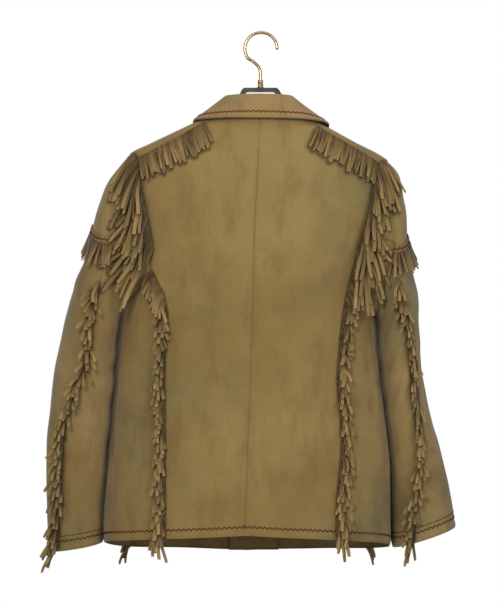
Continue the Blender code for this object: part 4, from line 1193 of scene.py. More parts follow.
def sleeve_grid(arm: Arm, under: bool, cols: int, rows: int) -> tuple[Array, Array]:
    """Ring numbers and turns of one half of a sleeve.

    Args:
        arm: Surface of the sleeve.
        under: Whether it is the under half.
        cols: Points across.
        rows: Points down.

    Returns:
        Ring numbers and turns, row by row from the armhole.
    """
    s = (np.linspace(0, 1, rows) * arm.last)[:, None]
    seam = arm.seam(s[:, 0])[:, None]
    u = np.linspace(0, 1, cols)[None, :]
    turn = seam + (270.0 - seam) * u if under else -90.0 + (seam + 90.0) * u
    return np.broadcast_to(s, turn.shape), turn


@dataclass
class Garment:
    """All leather shells of the jacket and the search tree of their outer faces.

    Attributes:
        finishes: Leathers by their use.
        panel_count: Columns and rows of a back or front.
        side_count: Columns and rows of a side.
        sleeve_count: Columns and rows of half a sleeve.
        collar_count: Points across the collar and sections round it.
        facing_count: Columns and rows of the facing.
        detail: Share of those counts that is built.
        arms: Surfaces of the sleeves.
        shells: Shells by the node that they replace.
    """

    finishes: dict[str, bpy.types.Material]
    panel_count: tuple[int, int] = (90, 230)
    side_count: tuple[int, int] = (70, 150)
    sleeve_count: tuple[int, int] = (84, 230)
    collar_count: tuple[int, int] = (46, 200)
    facing_count: tuple[int, int] = (36, 160)
    detail: float = field(default_factory=lambda: 1.0)
    arms: dict[int, Arm] = field(default_factory=lambda: {side: Arm(side) for side in WORDS})
    shells: dict[str, Shell] = field(default_factory=dict)

    def scaled(self, counts: tuple[int, int]) -> list[int]:
        return [max(6, round(count * self.detail)) for count in counts]

    def add(self, node: str, finish: str, points: Array, normals: Array, wall: float = SHELL_WALL,
            gaps: tuple[float, float, float, float] = (0.0, 0.0, 0.0, 0.0),
            bump: Array | float = 0.0, inward: Array | None = None) -> None:
        """Build the shell that replaces a node, and keep it.

        Args:
            node: CAD node that it replaces.
            finish: Leather by its use.
            points: Grid of outer points, mm.
            normals: Normals of the grid.
            wall: Thickness, mm.
            gaps: How far its edges stay back, mm.
            bump: Creases, mm.
            inward: Directions of the first row's wall.
        """
        shell = Shell(f"{node}_leather", node, points, normals, wall, gaps, bump, inward)
        shell.build(self.finishes[finish], self.finishes["inside"])
        self.shells[node] = shell

    def panels(self) -> None:
        """Build the backs, fronts and sides."""
        for side, word in WORDS.items():
            for panel in Panel:
                a, z = panel_grid(side, panel, *self.scaled(self.panel_count))
                p, n = Trunk.frame(a, z)
                if panel is Panel.FRONT and side < 0:
                    sunk = ease((np.abs(a) - UNDERLAP_FROM) / UNDERLAP_OVER)
                    p = p - n * (UNDERLAP_DROP * sunk)[..., None]
                centre = HALF_GAP if panel is Panel.BACK else 0.0
                self.add(f"{panel.name.lower()}_{word}", "deerskin", p, n,
                         gaps=(HALF_GAP, centre, 0.0, 0.0), bump=Trunk.wrinkle(a, z))
            a, z = side_grid(side, *self.scaled(self.side_count))
            self.add(f"side_{word}", "deerskin_side", *Trunk.frame(a, z),
                     gaps=(HALF_GAP, HALF_GAP, 0.0, 0.1), bump=Trunk.wrinkle(a, z))

    def sleeves(self) -> None:
        """Build the top and the under half of each sleeve."""
        for side, arm in self.arms.items():
            for half, under in (("top", False), ("under", True)):
                s, turn = sleeve_grid(arm, under, *self.scaled(self.sleeve_count))
                # the wall at the armhole turns from along the body's wall to along the sleeve
                body = Trunk.frame(*armhole_edge(side, turn[0]))[1]
                share = ease((np.cos(np.radians(turn[0])) - 0.2) / 0.6)[:, None]
                ahead = arm.frame(np.full(turn.shape[1], 0.4), turn[0])[1]
                inward = unit(-body * (0.5 + 0.5 * share) - ahead * (0.5 - 0.5 * share))
                self.add(f"sleeve_{WORDS[side]}_{half}", "deerskin_sleeve", *arm.frame(s, turn),
                         gaps=(HALF_GAP, HALF_GAP, 0.4, 0.0), bump=arm.wrinkle(s, turn),
                         inward=inward)

    def tree(self) -> BVHTree:
        """Search tree of the outer faces of everything built so far.

        Returns:
            The search tree.
        """
        verts: list[Array] = []
        faces: list[tuple[int, ...]] = []
        total = 0
        for shell in self.shells.values():
            outer = shell.outer[::2, ::2]
            rows, cols = outer.shape[:2]
            faces += [tuple(q) for q in (grid_faces(rows, cols) + total).tolist()]
            verts.append(outer.reshape(-1, 3))
            total += rows * cols
        return BVHTree.FromPolygons(np.concatenate(verts).tolist(), faces)

    def collar(self) -> None:
        """Build the folded collar round the neck."""
        tree = self.tree()
        across, rows = self.scaled(self.collar_count)
        angles = np.linspace(-COLLAR_END, COLLAR_END, rows)
        up = np.array([0.0, 0.0, 1.0])
        sections = []
        for a in angles:
            table = COLLAR[1 if a >= 0 else -1]
            lean, rise, out, down = (float(read(table, abs(a), column)) for column in range(1, 5))
            base, n = Trunk.frame(a, neckline(a))
            turn = math.radians(a)
            away = unit(np.array([math.sin(turn), math.cos(turn) * 0.9, 0.0]))
            foot = base + up * 1.2 - n
            fold, edge = foot - away * lean + up * rise, base + away * out - up * down
            # the stand rises from its foot and leans in, then the fold turns over into the fall
            keys = [foot, foot * 0.5 + fold * 0.5 - away * 0.6, fold - away * 0.8,
                    fold + away * 1.8 + up * 2.0, fold + away * 5.2 + up * 0.6]
            start = keys[-1]
            keys += [keep_off(tree, start + (edge - start) * h, COLLAR_CLEAR, away * 0.5 + up * 0.5)
                     for h in (0.25, 0.5, 0.75, 1.0)]
            sections.append(curve(np.array(keys), across))
        points = np.array(sections)
        n = -unit(np.cross(np.gradient(points, axis=1), np.gradient(points, axis=0)))
        fall = np.linspace(0, 1, points.shape[1])[None, :]
        bump = ease((fall - 0.45) / 0.3) * ripple(np.radians(angles)[:, None] * 6.0, fall * 3.0, 0.9)
        self.add("collar", "collar", points + n * COLLAR_WALL / 2, n, COLLAR_WALL - 0.2,
                 bump=0.5 * bump)

    def facing(self) -> None:
        """Build the light strip along the inside of the closing edge."""
        across, down = self.scaled(self.facing_count)
        x = np.linspace(*FACING_SPAN, across)[None, :]
        low = float(hem(180.0)) + 0.8
        z = low + (FACING_TOP - low) * np.linspace(0, 1, down)
        z = np.broadcast_to(z[:, None], (down, across))
        half = (read(TORSO, z, 1) - read(TORSO, z, 2)) / 2.0
        p, n = Trunk.frame(180.0 - np.degrees(np.arcsin(x / half)), z)
        p = p - n * (UNDERLAP_DROP + WALL + FACING_GAP)
        self.add("front_facing", "facing", p, n, FACING_WALL)

    def build(self) -> None:
        """Build every shell."""
        self.panels()
        self.sleeves()
        self.collar()
        self.facing()


def curve(keys: Array, count: int) -> Array:
    """Smooth curve through points, evenly spaced.

    Args:
        keys: Points to pass through.
        count: Number of points to give.

    Returns:
        The points.
    """
    m = np.gradient(keys, axis=0)
    t = np.linspace(0, len(keys) - 1, count * 3)
    k = np.clip(t.astype(int), 0, len(keys) - 2)
    f = (t - k)[:, None]
    dense = ((2 * f**3 - 3 * f**2 + 1) * keys[k] + (f**3 - 2 * f**2 + f) * m[k]
             + (-2 * f**3 + 3 * f**2) * keys[k + 1] + (f**3 - f**2) * m[k + 1])
    run = np.concatenate([[0], np.cumsum(np.linalg.norm(np.diff(dense, axis=0), axis=1))])
    want = np.linspace(0, run[-1], count)
    return np.stack([np.interp(want, run, dense[:, i]) for i in range(3)], axis=1)


def keep_off(tree: BVHTree, point: Array, clear: float, hint: Array) -> Array:
    """Move a point out until it is clear of the leather.

    Args:
        tree: Faces of the leather.
        point: Point to move, mm.
        clear: Least distance, mm.
        hint: Direction that is roughly outwards.

    Returns:
        The moved point.
    """
    p = np.asarray(point, float)
    for _ in range(3):
        hit, normal, _, _ = tree.find_nearest(Vector(p.tolist()))
        if hit is None:
            return p
        place, away = np.array(hit), np.array(normal)
        if float(np.dot(away, hint)) < 0:
            away = -away
        gap = float(np.dot(p - place, away))
        if gap >= clear:
            return p
        p = p + away * (clear - gap)
    return p


def level(*values: float) -> Callable[[Array], Array]:
    """Reader of values that are spread evenly along a path."""
    spots = np.linspace(0, 1, len(values))
    return lambda t: np.interp(t, spots, values)


def vectors(x: Array | float, y: Array | float, z: Array | float, like: Array) -> Array:
    """Directions for each share of a path."""
    return np.stack([np.broadcast_to(np.asarray(c, float), like.shape) for c in (x, y, z)], axis=-1)


@dataclass(frozen=True)
class Fall:
    """How the strands of a fringe hang, for shares of its path.

    Attributes:
        length: Lengths, mm.
        start: Directions at the roots.
        end: Directions at the tips.
        lift: How far the tips stand off, mm.
        swing: Sideways swing.
    """

    length: Array
    start: Array
    end: Array
    lift: float
    swing: Array


@dataclass(frozen=True)
class Cut:
    """How one kind of fringe is cut.

    Attributes:
        count: Strands in one layer.
        width: Width of a strand, mm.
        lengths: Lengths at even steps along the fringe, mm.
        swings: Sideways swing at even steps along the fringe.
        lift: How far the tips stand off, mm.
        clear: Least distance from the leather, mm.
        layers: Layers of strands, one over the other.
        strip: Height of the strip that carries the strands, mm.
        above: How far the strip runs on past its line, away from the strands, mm.
    """

    count: int
    width: float
    lengths: tuple[float, ...]
    swings: tuple[float, ...]
    lift: float
    clear: float = 1.2
    layers: int = 1
    strip: float = 1.4
    above: float = 0.0

    def fall(self, t: Array, start: Array, end: Array, length: Array | None = None) -> Fall:
        """Let the strands fall between directions at their roots and tips."""
        length = level(*self.lengths)(t) if length is None else length
        return Fall(length, start, end, self.lift, level(*self.swings)(t))


# strands, width, lengths, swings and lift of each kind
SHOULDER_CUT = Cut(37, 4.7, (43.0,), (0.07,), 5.0)
BAND_CUT = Cut(42, 4.6, (36.0,), (0.12,), 3.0, strip=3.0, above=11.0)
SIDE_BACK_CUT = Cut(138, 5.6, (30, 34, 30, 33, 33, 34, 42), (0.22,), 6.0)
SIDE_FRONT_CUT = Cut(84, 5.0, (30, 30, 30, 34, 40), (0.2, 0.2, 0.08), 4.0)
SLEEVE_CUT = Cut(124, 5.6, (34, 32, 31, 31, 32, 34, 40), (0.36, 0.3, 0.28, 0.26, 0.14), 8.0)
ARMHOLE_CUT = Cut(48, 6.2, (80, 76, 74, 76, 78, 84, 94, 104), (0.08, 0.10, 0.15, 0.20, 0.18), 10.0,
                  clear=1.4, layers=2)
# heights at which the fringes in the side seams start and end
SIDE_BACK_TOP, SIDE_BACK_END = {1: -388.0, -1: -362.0}, -806.0
SIDE_FRONT_TOP, SIDE_FRONT_END = -420.0, -842.0
# ring at which the fringe in a sleeve's seam starts, and how far before the cuff it ends
SLEEVE_FRINGE_TOP, SLEEVE_FRINGE_STOP = {1: 3.6, -1: 4.0}, 0.12
# armhole fringe: first turn, how far it runs, how far its line lies in from the seam
ARMHOLE_START, ARMHOLE_RUN, ARMHOLE_IN = 13.0, {1: 95.0, -1: 87.0}, 5.6
# lean of its strands away from the middle, how far they start out more, and how its lengths vary
ARMHOLE_LEAN = {1: (0.34, 0.24, 0.14, 0.12, 0.22, 0.34, 0.36, 0.30),
                -1: (0.20, 0.10, 0.0, 0.0, 0.06, 0.10)}
ARMHOLE_OUT = {1: (0.50, 0.22, 0.08, 0.05, 0.1), -1: (0.30, 0.15, 0.05, 0.0)}
ARMHOLE_SHARE = {1: (1.0,), -1: (0.92, 0.88, 0.85, 0.9, 1.0, 1.05)}
# steps along a strand, its thickness in mm, and how much further out each layer lies
STEPS, THICK, LAYER = 8, 1.5, 1.3


@dataclass
class Comb:
    """One fringe as one mesh of flat cut strands over a narrow strip.

    Attributes:
        name: Name of the piece.
        node: CAD node that it replaces.
        cut: How it is cut.
        frame: Points and outward normals at shares of its path.
        fall: How its strands hang at shares of its path.
        tree: Faces of the leather under it.
        finish: Material of the strands.
        rng: Random numbers that belong to this piece.
        verts: Corners, one entry a strand.
        faces: Faces, one entry a strand.
        tone: Tone of each corner.
        along: Share of the strand's length at each corner.
        top: Points, downward directions and normals of the strip's outer face.
    """

    name: str
    node: str
    cut: Cut
    frame: Callable[[Array], tuple[Array, Array]]
    fall: Callable[[Array, random.Random], Fall]
    tree: BVHTree
    finish: bpy.types.Material
    rng: random.Random = field(init=False)
    verts: list[Array] = field(default_factory=list)
    faces: list[Array] = field(default_factory=list)
    tone: list[Array] = field(default_factory=list)
    along: list[Array] = field(default_factory=list)
    top: tuple[Array, Array, Array] | None = None

    def __post_init__(self) -> None:
        """Seed the random numbers with the piece's own name."""
        self.rng = random.Random(self.name)

    def clear(self, point: Array, n: Array, more: float = 0.0) -> Array:
        """Point moved out until it is clear of the leather."""
        return keep_off(self.tree, point, self.cut.clear + more, n)

    def bar(self, centre: Array, across: Array, out: Array, width: Array | float, thick: float,
            tone: float, along: Array | float) -> None:
        """Add one closed flat bar with four corners a section.

        Args:
            centre: Middle of each section.
            across: Directions of the width.
            out: Directions of the thickness.
            width: Width, mm.
            thick: Thickness, mm.
            tone: Tone of the whole bar.
            along: Share of its length at each section.
        """
        count = len(centre)
        a = across * np.broadcast_to(width, count)[:, None] / 2
        o = out * thick / 2
        ring = np.stack([centre - a - o, centre + a - o, centre + a + o, centre - a + o], axis=1)
        start = sum(len(part) for part in self.verts)
        self.verts.append(ring.reshape(-1, 3))
        self.faces.append(np.array(ring_faces(count, 4)) + start)
        self.tone.append(np.full(count * 4, tone))
        self.along.append(np.repeat(np.broadcast_to(along, count), 4))

    def strand(self, base: Array, n: Array, fall: Fall, i: int, layer: int) -> None:
        """Grow one strand from its root, kept off the leather.

        Args:
            base: Root.
            n: Outward normal at the root.
            fall: How the strands hang.
            i: Number of the strand.
            layer: Number of the layer.
        """
        rng, most = self.rng, float(fall.swing[i])
        length = float(fall.length[i]) * rng.uniform(0.88, 1.12)
        # neighbours swing together in groups of three or four
        group = 0.8 * math.sin(0.9 * i + 1.7 * math.sin(0.31 * i + layer))
        swing = (group + rng.gauss(0.0, 0.7)) * most * (1.0 + 0.5 * layer)
        if layer and rng.random() < 0.25:
            swing *= 1.9
        curl = rng.gauss(0.0, 0.28) * min(1.0, most * 3.0)
        sideways = unit(np.cross(n, fall.end[i]))
        start = unit(fall.start[i] + sideways * swing * 0.4)
        end = unit(fall.end[i] + sideways * swing)
        lift = fall.lift * rng.uniform(0.3, 1.6) + 1.5 * layer
        at, centres = base.copy(), [base - unit(start) * 1.2, base]
        for step in range(1, STEPS + 1):
            h = step / STEPS
            go = unit(start * (1 - h**0.7) + end * h**0.7 + sideways * curl * math.sin(3.0 * h))
            at = at + go * length / STEPS
            raised = n * lift * h**1.1
            q = self.clear(at + raised, n, LAYER * layer)
            middle = (centres[-1] + q) / 2
            # the chord between two points is kept off the leather as well
            q = q + (self.clear(middle, n, LAYER * layer) - middle) * 1.6
            at = q - raised
            centres.append(q)
        path = np.array(centres)
        side, out = self.lie(path, n)
        share = np.concatenate([[0.0], np.linspace(0, 1, STEPS + 1)])
        width = self.cut.width * rng.uniform(0.8, 1.1) * (1.0 - 0.08 * share**2)
        width[-1] *= rng.uniform(0.75, 1.0)
        self.bar(path, side, out, width, THICK, rng.uniform(0.0, 1.0), share)

    def lie(self, path: Array, n: Array) -> tuple[Array, Array]:
        """Lay a strand flat on the leather below it, with a little twist.

        Args:
            path: Middle line of the strand.
            n: Outward normal at its root.

        Returns:
            Directions of its width and of its thickness.
        """
        rng = self.rng
        run = unit(np.gradient(path, axis=0))
        below = [np.array(self.tree.find_nearest(Vector(spot.tolist()))[1]) for spot in path]
        face = np.array([v if float(np.dot(v, n)) > 0 else -v for v in below])
        face = unit(np.cumsum(face, axis=0) / np.arange(1, len(face) + 1)[:, None] + n * 0.3)
        side = unit(np.cross(face, run))
        twist = rng.gauss(0.0, 0.15) + np.linspace(0, 1, len(path)) * rng.gauss(0.0, 0.35)
        up = unit(np.cross(run, side))
        side = unit(side * np.cos(twist)[:, None] + up * np.sin(twist)[:, None])
        return side, unit(np.cross(run, side))

    def strip(self, points: Array, normals: Array, down: Array) -> None:
        """Add the narrow strip that carries the strands.

        Args:
            points: Points of the line.
            normals: Outward normals.
            down: Directions in which the strands start.
        """
        cut, keep = self.cut, slice(None, None, 3)
        down, normals = down[keep], normals[keep]
        middle = points[keep] + down * (cut.strip - cut.above) / 2 + normals * 1.2
        lifted = np.array([self.clear(p, n, 0.2) for p, n in zip(middle, normals)])
        self.top = (lifted + normals * 0.5, down, normals)
        self.bar(lifted, down, normals, cut.strip + cut.above, 1.0, 0.75, 0.4)

    def build(self) -> bpy.types.Object:
        """Make the strip and the strands.

        Returns:
            The finished object.
        """
        fine = np.linspace(0, 1, 260)
        points, normals = self.frame(fine)
        run = np.concatenate([[0], np.cumsum(np.linalg.norm(np.diff(points, axis=0), axis=1))])
        down = unit(np.cross(normals, unit(np.gradient(points, axis=0))))
        first = self.fall(fine, random.Random(1)).start
        down = down * np.where(np.sum(down * first, axis=1) < 0, -1.0, 1.0)[:, None]
        self.strip(points, normals, down)
        count = max(4, int(self.cut.count * (1.0)))
        for layer in range(self.cut.layers):
            # the roots of the second layer lie between those of the first
            marks = (np.arange(count) + 0.5 + 0.45 * layer) * (run[-1] / count)
            marks = marks + np.array([self.rng.uniform(-0.3, 0.3) for _ in marks])
            share = np.interp(np.clip(marks, 1.0, run[-1] - 1.0), run, fine)
            p, n = self.frame(share)
            fall = self.fall(share, self.rng)
            for i in range(count):
                k = int(np.clip(np.searchsorted(fine, share[i]), 0, len(fine) - 1))
                base = p[i] + down[k] * 0.8 + n[i] * (2.2 + 1.2 * layer)
                self.strand(self.clear(base, n[i], 1.3 + 1.2 * layer), n[i], fall, i, layer)
        mesh = mesh_of(self.name, np.concatenate(self.verts), np.concatenate(self.faces).tolist(),
                       [self.finish], smooth=False)
        give(mesh, "tone", np.concatenate(self.tone))
        give(mesh, "along", np.concatenate(self.along))
        made = link(mesh, self.name)
        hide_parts(self.node)
        return made


@dataclass
class Fringes:
    """The twelve fringes of the jacket.

    Attributes:
        garment: The leather that they hang on.
        finish: Material of the strands.
        tree: Faces of that leather.
        made: Finished pieces by the node that they replace.
        bands: Outer face of each arm band.
        roots: Points of the strands that lie near the leather.
    """

    garment: Garment
    finish: bpy.types.Material
    tree: BVHTree = field(init=False)
    made: dict[str, bpy.types.Object] = field(default_factory=dict)
    bands: dict[int, tuple[Array, Array, Array]] = field(default_factory=dict)
    roots: list[tuple[float, ...]] = field(default_factory=list)

    def __post_init__(self) -> None:
        """Take the faces of the leather."""
        self.tree = self.garment.tree()

    def lay(self, kind: str, node: str, side: int, cut: Cut,
            frame: Callable[[Array], tuple[Array, Array]],
            fall: Callable[[Array, random.Random], Fall]) -> Comb:
        """Build one fringe and keep it.

        Args:
            kind: First words of the piece's name.
            node: First words of the node's name.
            side: 1 for the left, -1 for the right.
            cut: How it is cut.
            frame: Points and normals of its line.
            fall: How its strands hang.

        Returns:
            The fringe.
        """
        word = WORDS[side]
        comb = Comb(f"{kind}_strands_{word}", f"{node}_{word}", cut, frame, fall, self.tree,
                    self.finish)
        self.made[comb.node] = comb.build()
        self.roots += [tuple(v) for part in comb.verts[1:] for v in part[12::4]]
        return comb

    def paint_strand_shadow(self) -> None:
        """Darken the leather that lies under strands with a painted shadow of the strands."""
        tree = KDTree(len(self.roots))
        for i, spot in enumerate(self.roots):
            tree.insert(spot, i)
        tree.balance()
        for shell in self.garment.shells.values():
            spots = shell.outer.reshape(-1, 3)
            near = np.array([tree.find(spot)[2] for spot in spots.tolist()])
            value = ease(1.0 - (near - 2.0) / 6.0)
            give(shell.made.data, "under", np.concatenate([value, 0 * value]))

    def build(self) -> None:
        """Build every fringe."""
        for side in WORDS:
            self.shoulder(side)
            self.side_back(side)
            self.side_front(side)
            self.sleeve_seam(side)
            self.band(side)
            self.armhole(side)
        self.paint_strand_shadow()

    def shoulder(self, side: int) -> None:
        """Build the even fringe along the yoke over one shoulder.

        Args:
            side: 1 for the left, -1 for the right.
        """
        rows = SHOULDER_LINE[side]

        def frame(t: Array) -> tuple[Array, Array]:
            """Points and normals of its line."""
            x, z = read(rows, t, 1), read(rows, t, 2)
            return Trunk.frame(side * back_angle(side, x, z), z)

        def fall(t: Array, _: random.Random) -> Fall:
            """Straight down, a little towards the middle."""
            length = level(*SHOULDER_CUT.lengths)(t) + 3.0 * np.sin(5 * t)
            return SHOULDER_CUT.fall(t, vectors(-side * 0.2, 0.5, -0.9, t),
                                     vectors(-side * (0.42 - 0.16 * t), 0.12, -1.0, t), length)

        self.lay("shoulder", "shoulder_fringe", side, SHOULDER_CUT, frame, fall)

    def band(self, side: int) -> None:
        """Build the band round one upper sleeve with its fringe.

        Args:
            side: 1 for the left, -1 for the right.
        """
        arm = self.garment.arms[side]

        def frame(t: Array) -> tuple[Array, Array]:
            """Points and normals of its line."""
            return arm.frame(*band_line(arm, t))

        def fall(t: Array, _: random.Random) -> Fall:
            """Down and a little away from the sleeve."""
            turn = np.radians(BAND_START + BAND_RUN * t)
            out = np.stack([side * np.cos(turn), np.sin(turn), 0 * t], axis=-1)
            down = vectors(0, 0, -1, t)
            return BAND_CUT.fall(t, out * 0.25 + down, out * 0.30 + down)

        self.bands[side] = self.lay("arm_band", "arm_band", side, BAND_CUT, frame, fall).top

    def side_back(self, side: int) -> None:
        """Build the fringe in one side-back seam.

        Args:
            side: 1 for the left, -1 for the right.
        """
        top = SIDE_BACK_TOP[side]

        def frame(t: Array) -> tuple[Array, Array]:
            """Points and normals of its line."""
            z = top + (SIDE_BACK_END - top) * t
            return Trunk.frame(side * (np.abs(outer_angle(side, z, Panel.BACK)) - 0.6), z)

        def fall(t: Array, _: random.Random) -> Fall:
            """Out of the seam, then down."""
            return SIDE_BACK_CUT.fall(t, vectors(side * 0.9, 0.35, -0.5, t),
                                      vectors(-side * 0.06, 0.02, -1.0, t))

        self.lay("side_back", "side_back_fringe", side, SIDE_BACK_CUT, frame, fall)

    def side_front(self, side: int) -> None:
        """Build the fringe in one side-front seam.

        Args:
            side: 1 for the left, -1 for the right.
        """

        def frame(t: Array) -> tuple[Array, Array]:
            """Points and normals of its line."""
            z = SIDE_FRONT_TOP + (SIDE_FRONT_END - SIDE_FRONT_TOP) * t
            return Trunk.frame(side * (np.abs(outer_angle(side, z, Panel.FRONT)) + 0.6), z)

        def fall(t: Array, _: random.Random) -> Fall:
            """Out of the seam, then down."""
            return SIDE_FRONT_CUT.fall(t, vectors(side * 0.8, -0.2, -0.5, t),
                                       vectors(side * 0.12, -0.02, -1.0, t))

        self.lay("side_front", "side_front_fringe", side, SIDE_FRONT_CUT, frame, fall)

    def sleeve_seam(self, side: int) -> None:
        """Build the fringe in the back seam of one sleeve.

        Args:
            side: 1 for the left, -1 for the right.
        """
        arm, low = self.garment.arms[side], SLEEVE_FRINGE_TOP[side]

        def frame(t: Array) -> tuple[Array, Array]:
            """Points and normals of its line."""
            s = low + (arm.last - SLEEVE_FRINGE_STOP - low) * t
            return arm.frame(s, arm.seam(s) - 2.0)

        def fall(t: Array, _: random.Random) -> Fall:
            """Out of the seam, then down, on both sleeves a little towards the jacket's left."""
            return SLEEVE_CUT.fall(t, vectors(0.5, 0.7, -0.5, t), vectors(0.1, 0.06, -1.0, t))

        self.lay("sleeve", "sleeve_fringe", side, SLEEVE_CUT, frame, fall)

    def armhole(self, side: int) -> None:
        """Build the long tangled fringe in the back of one armhole.

        Args:
            side: 1 for the left, -1 for the right.
        """

        def frame(t: Array) -> tuple[Array, Array]:
            """Points and normals of its line, on the body beside the seam."""
            turn = ARMHOLE_START + ARMHOLE_RUN[side] * t
            a, z = armhole_edge(side, turn)
            p, n = Trunk.frame(a, z)
            run = unit(Trunk.point(*armhole_edge(side, turn + 2))
                       - Trunk.point(*armhole_edge(side, turn - 2)))
            inward = unit(np.cross(n, run))
            inward = inward * np.where(inward[..., :1] * side > 0, -1.0, 1.0) * ARMHOLE_IN
            da = Trunk.point(a + 0.5, z) - p
            shift = np.sum(inward * unit(da), axis=-1) / (np.linalg.norm(da, axis=-1) / 0.5)
            return Trunk.frame(a + shift, z + inward[..., 2])

        def fall(t: Array, rng: random.Random) -> Fall:
            """Out over the sleeve and down, each strand of its own length."""
            length = level(*ARMHOLE_CUT.lengths)(t) * level(*ARMHOLE_SHARE[side])(t)
            length = length * np.array([rng.uniform(0.75, 1.15) for _ in t])
            lean = level(*ARMHOLE_LEAN[side])(t)
            out = level(*ARMHOLE_OUT[side])(t) + lean
            return ARMHOLE_CUT.fall(t, vectors(side * out, 0.5, -0.8, t),
                                    vectors(side * lean, 0.0, -1.0, t), length)

        self.lay("armhole", "armhole_fringe", side, ARMHOLE_CUT, frame, fall)


def band_line(arm: Arm, t: Array) -> tuple[Array, Array]:
    """Ring numbers and turns of the line that carries the arm band.

    Args:
        arm: Surface of the sleeve.
        t: Shares of the path.

    Returns:
        Ring numbers and turns.
    """
    turn = BAND_START + BAND_RUN * np.asarray(t, float)
    want = BAND_HEIGHT[arm.side] - BAND_DIP * np.abs(np.sin(np.radians(turn)))
    low, high = np.full(turn.shape, 0.3), np.full(turn.shape, 6.0)
    for _ in range(22):
        middle = (low + high) / 2
        above = arm.point(middle, turn)[..., 2] > want
        low, high = np.where(above, middle, low), np.where(above, high, middle)
    return (low + high) / 2, turn


@dataclass(frozen=True)
class Zigzag:
    """Sizes of one kind of zigzag, mm: length of a turn, height, and radius of the thread."""

    period: float
    high: float
    radius: float


RED_ZIGZAG = Zigzag(8.0, 3.4, 0.75)
FINE_ZIGZAG = Zigzag(7.0, 1.6, 0.4)
# distances of the rows from their edges, mm
HEM_IN, CUFF_IN, FINE_IN, COLLAR_IN, BAND_IN = 14.0, 17.0, 25.0, 10.5, 2.5


@dataclass
class Needle:
    """Sews zigzag rows on the leather.

    Attributes:
        tree: Faces of the leather.
        finish: Material of the thread.
        stitch: Sizes of the zigzag.
    """

    tree: BVHTree
    finish: bpy.types.Material
    stitch: Zigzag

    def row(self, name: str, line: Array, normals: Array, seat: bool = True) -> bpy.types.Object:
        """Sew one zigzag along a line of points.

        Args:
            name: Name of the piece.
            line: Points of the line, mm.
            normals: Outward normals.
            seat: Whether the thread is laid on the nearest leather.

        Returns:
            The finished object.
        """
        high = self.stitch.high
        run = np.concatenate([[0], np.cumsum(np.linalg.norm(np.diff(line, axis=0), axis=1))])
        turns = max(4, int(run[-1] / (self.stitch.period / 2)))
        marks = np.linspace(0, run[-1], turns * 4 + 1)
        p = np.stack([np.interp(marks, run, line[:, i]) for i in range(3)], axis=1)
        n = unit(np.stack([np.interp(marks, run, normals[:, i]) for i in range(3)], axis=1))
        side = unit(np.cross(n, unit(np.gradient(p, axis=0))))
        wave = 4 * np.abs(np.arange(len(marks)) / 8.0 % 1.0 - 0.5) - 1.0
        wave = np.clip(wave * 1.15, -1, 1) * high / 2
        # the thread dips into the leather at every point of the zigzag
        lifts = np.where(np.abs(wave) > high * 0.47, -0.1, 0.42)
        path = p + side * wave[:, None]
        if seat:
            seated = [self.seated(*spot) for spot in zip(path, n, lifts)]
        else:
            seated = [point + normal * lift for point, normal, lift in zip(path, n, lifts)]
        return self.thread(name, np.array(seated), n)

    def seated(self, point: Array, normal: Array, lift: float) -> Array:
        """Point moved onto the leather and lifted by the thread's height there.

        Args:
            point: Point near the leather.
            normal: Outward normal.
            lift: Height over the leather, mm.

        Returns:
            The moved point.
        """
        hit, face, _, _ = self.tree.find_nearest(Vector(point.tolist()))
        away = np.array(face)
        away = -away if float(np.dot(away, normal)) < 0 else away
        return np.array(hit) + away * lift

    def thread(self, name: str, path: Array, n: Array) -> bpy.types.Object:
        """Round thread along a path.

        Args:
            name: Name of the piece.
            path: Middle line.
            n: Outward normals.

        Returns:
            The finished object.
        """
        run = unit(np.gradient(path, axis=0))
        side = unit(np.cross(n, run))
        return bar(name, path, side, unit(np.cross(run, side)), np.full(len(path), self.stitch.radius),
                   6, self.finish)


def edge_line(shell: Shell, back: float, edge: Edge) -> tuple[Array, Array]:
    """Line on the outer face of a shell at a distance from one of its edges.

    Args:
        shell: The shell.
        back: Distance from the edge, mm.
        edge: Which edge.

    Returns:
        Points and normals along the line.
    """
    axis, end = edge.value
    grid, normals = shell.outer, shell.normals
    if axis == 1:
        grid, normals = grid.transpose(1, 0, 2), normals.transpose(1, 0, 2)
    if end == -1:
        grid, normals = grid[::-1], normals[::-1]
    run = np.cumsum(np.linalg.norm(np.diff(grid, axis=0), axis=-1), axis=0)
    run = np.concatenate([np.zeros((1, grid.shape[1])), run])
    points, directions = [], []
    for i in range(grid.shape[1]):
        k = int(np.clip(np.searchsorted(run[:, i], back) - 1, 0, len(run) - 2))
        f = (back - run[k, i]) / max(run[k + 1, i] - run[k, i], 1e-6)
        points.append(grid[k, i] * (1 - f) + grid[k + 1, i] * f)
        directions.append(normals[k, i])
    return np.array(points), np.array(directions)


def bar(name: str, path: Array, side: Array, up: Array, radii: Array, corners: int,
        finish: bpy.types.Material) -> bpy.types.Object:
    """Round bar along a path, with flat ends.

    Args:
        name: Name of the piece.
        path: Middle line, mm.
        side: Directions across it.
        up: Directions square to those.
        radii: Radius at each point.
        corners: Corners round the bar.
        finish: Material.

    Returns:
        The finished object.
    """
    turn = np.linspace(0, 2 * np.pi, corners, endpoint=False)[None, :, None]
    ring = path[:, None] + (side[:, None] * np.cos(turn) + up[:, None] * np.sin(turn)) * radii[:, None, None]
    return link(mesh_of(name, ring.reshape(-1, 3), ring_faces(len(path), corners), [finish]), name)


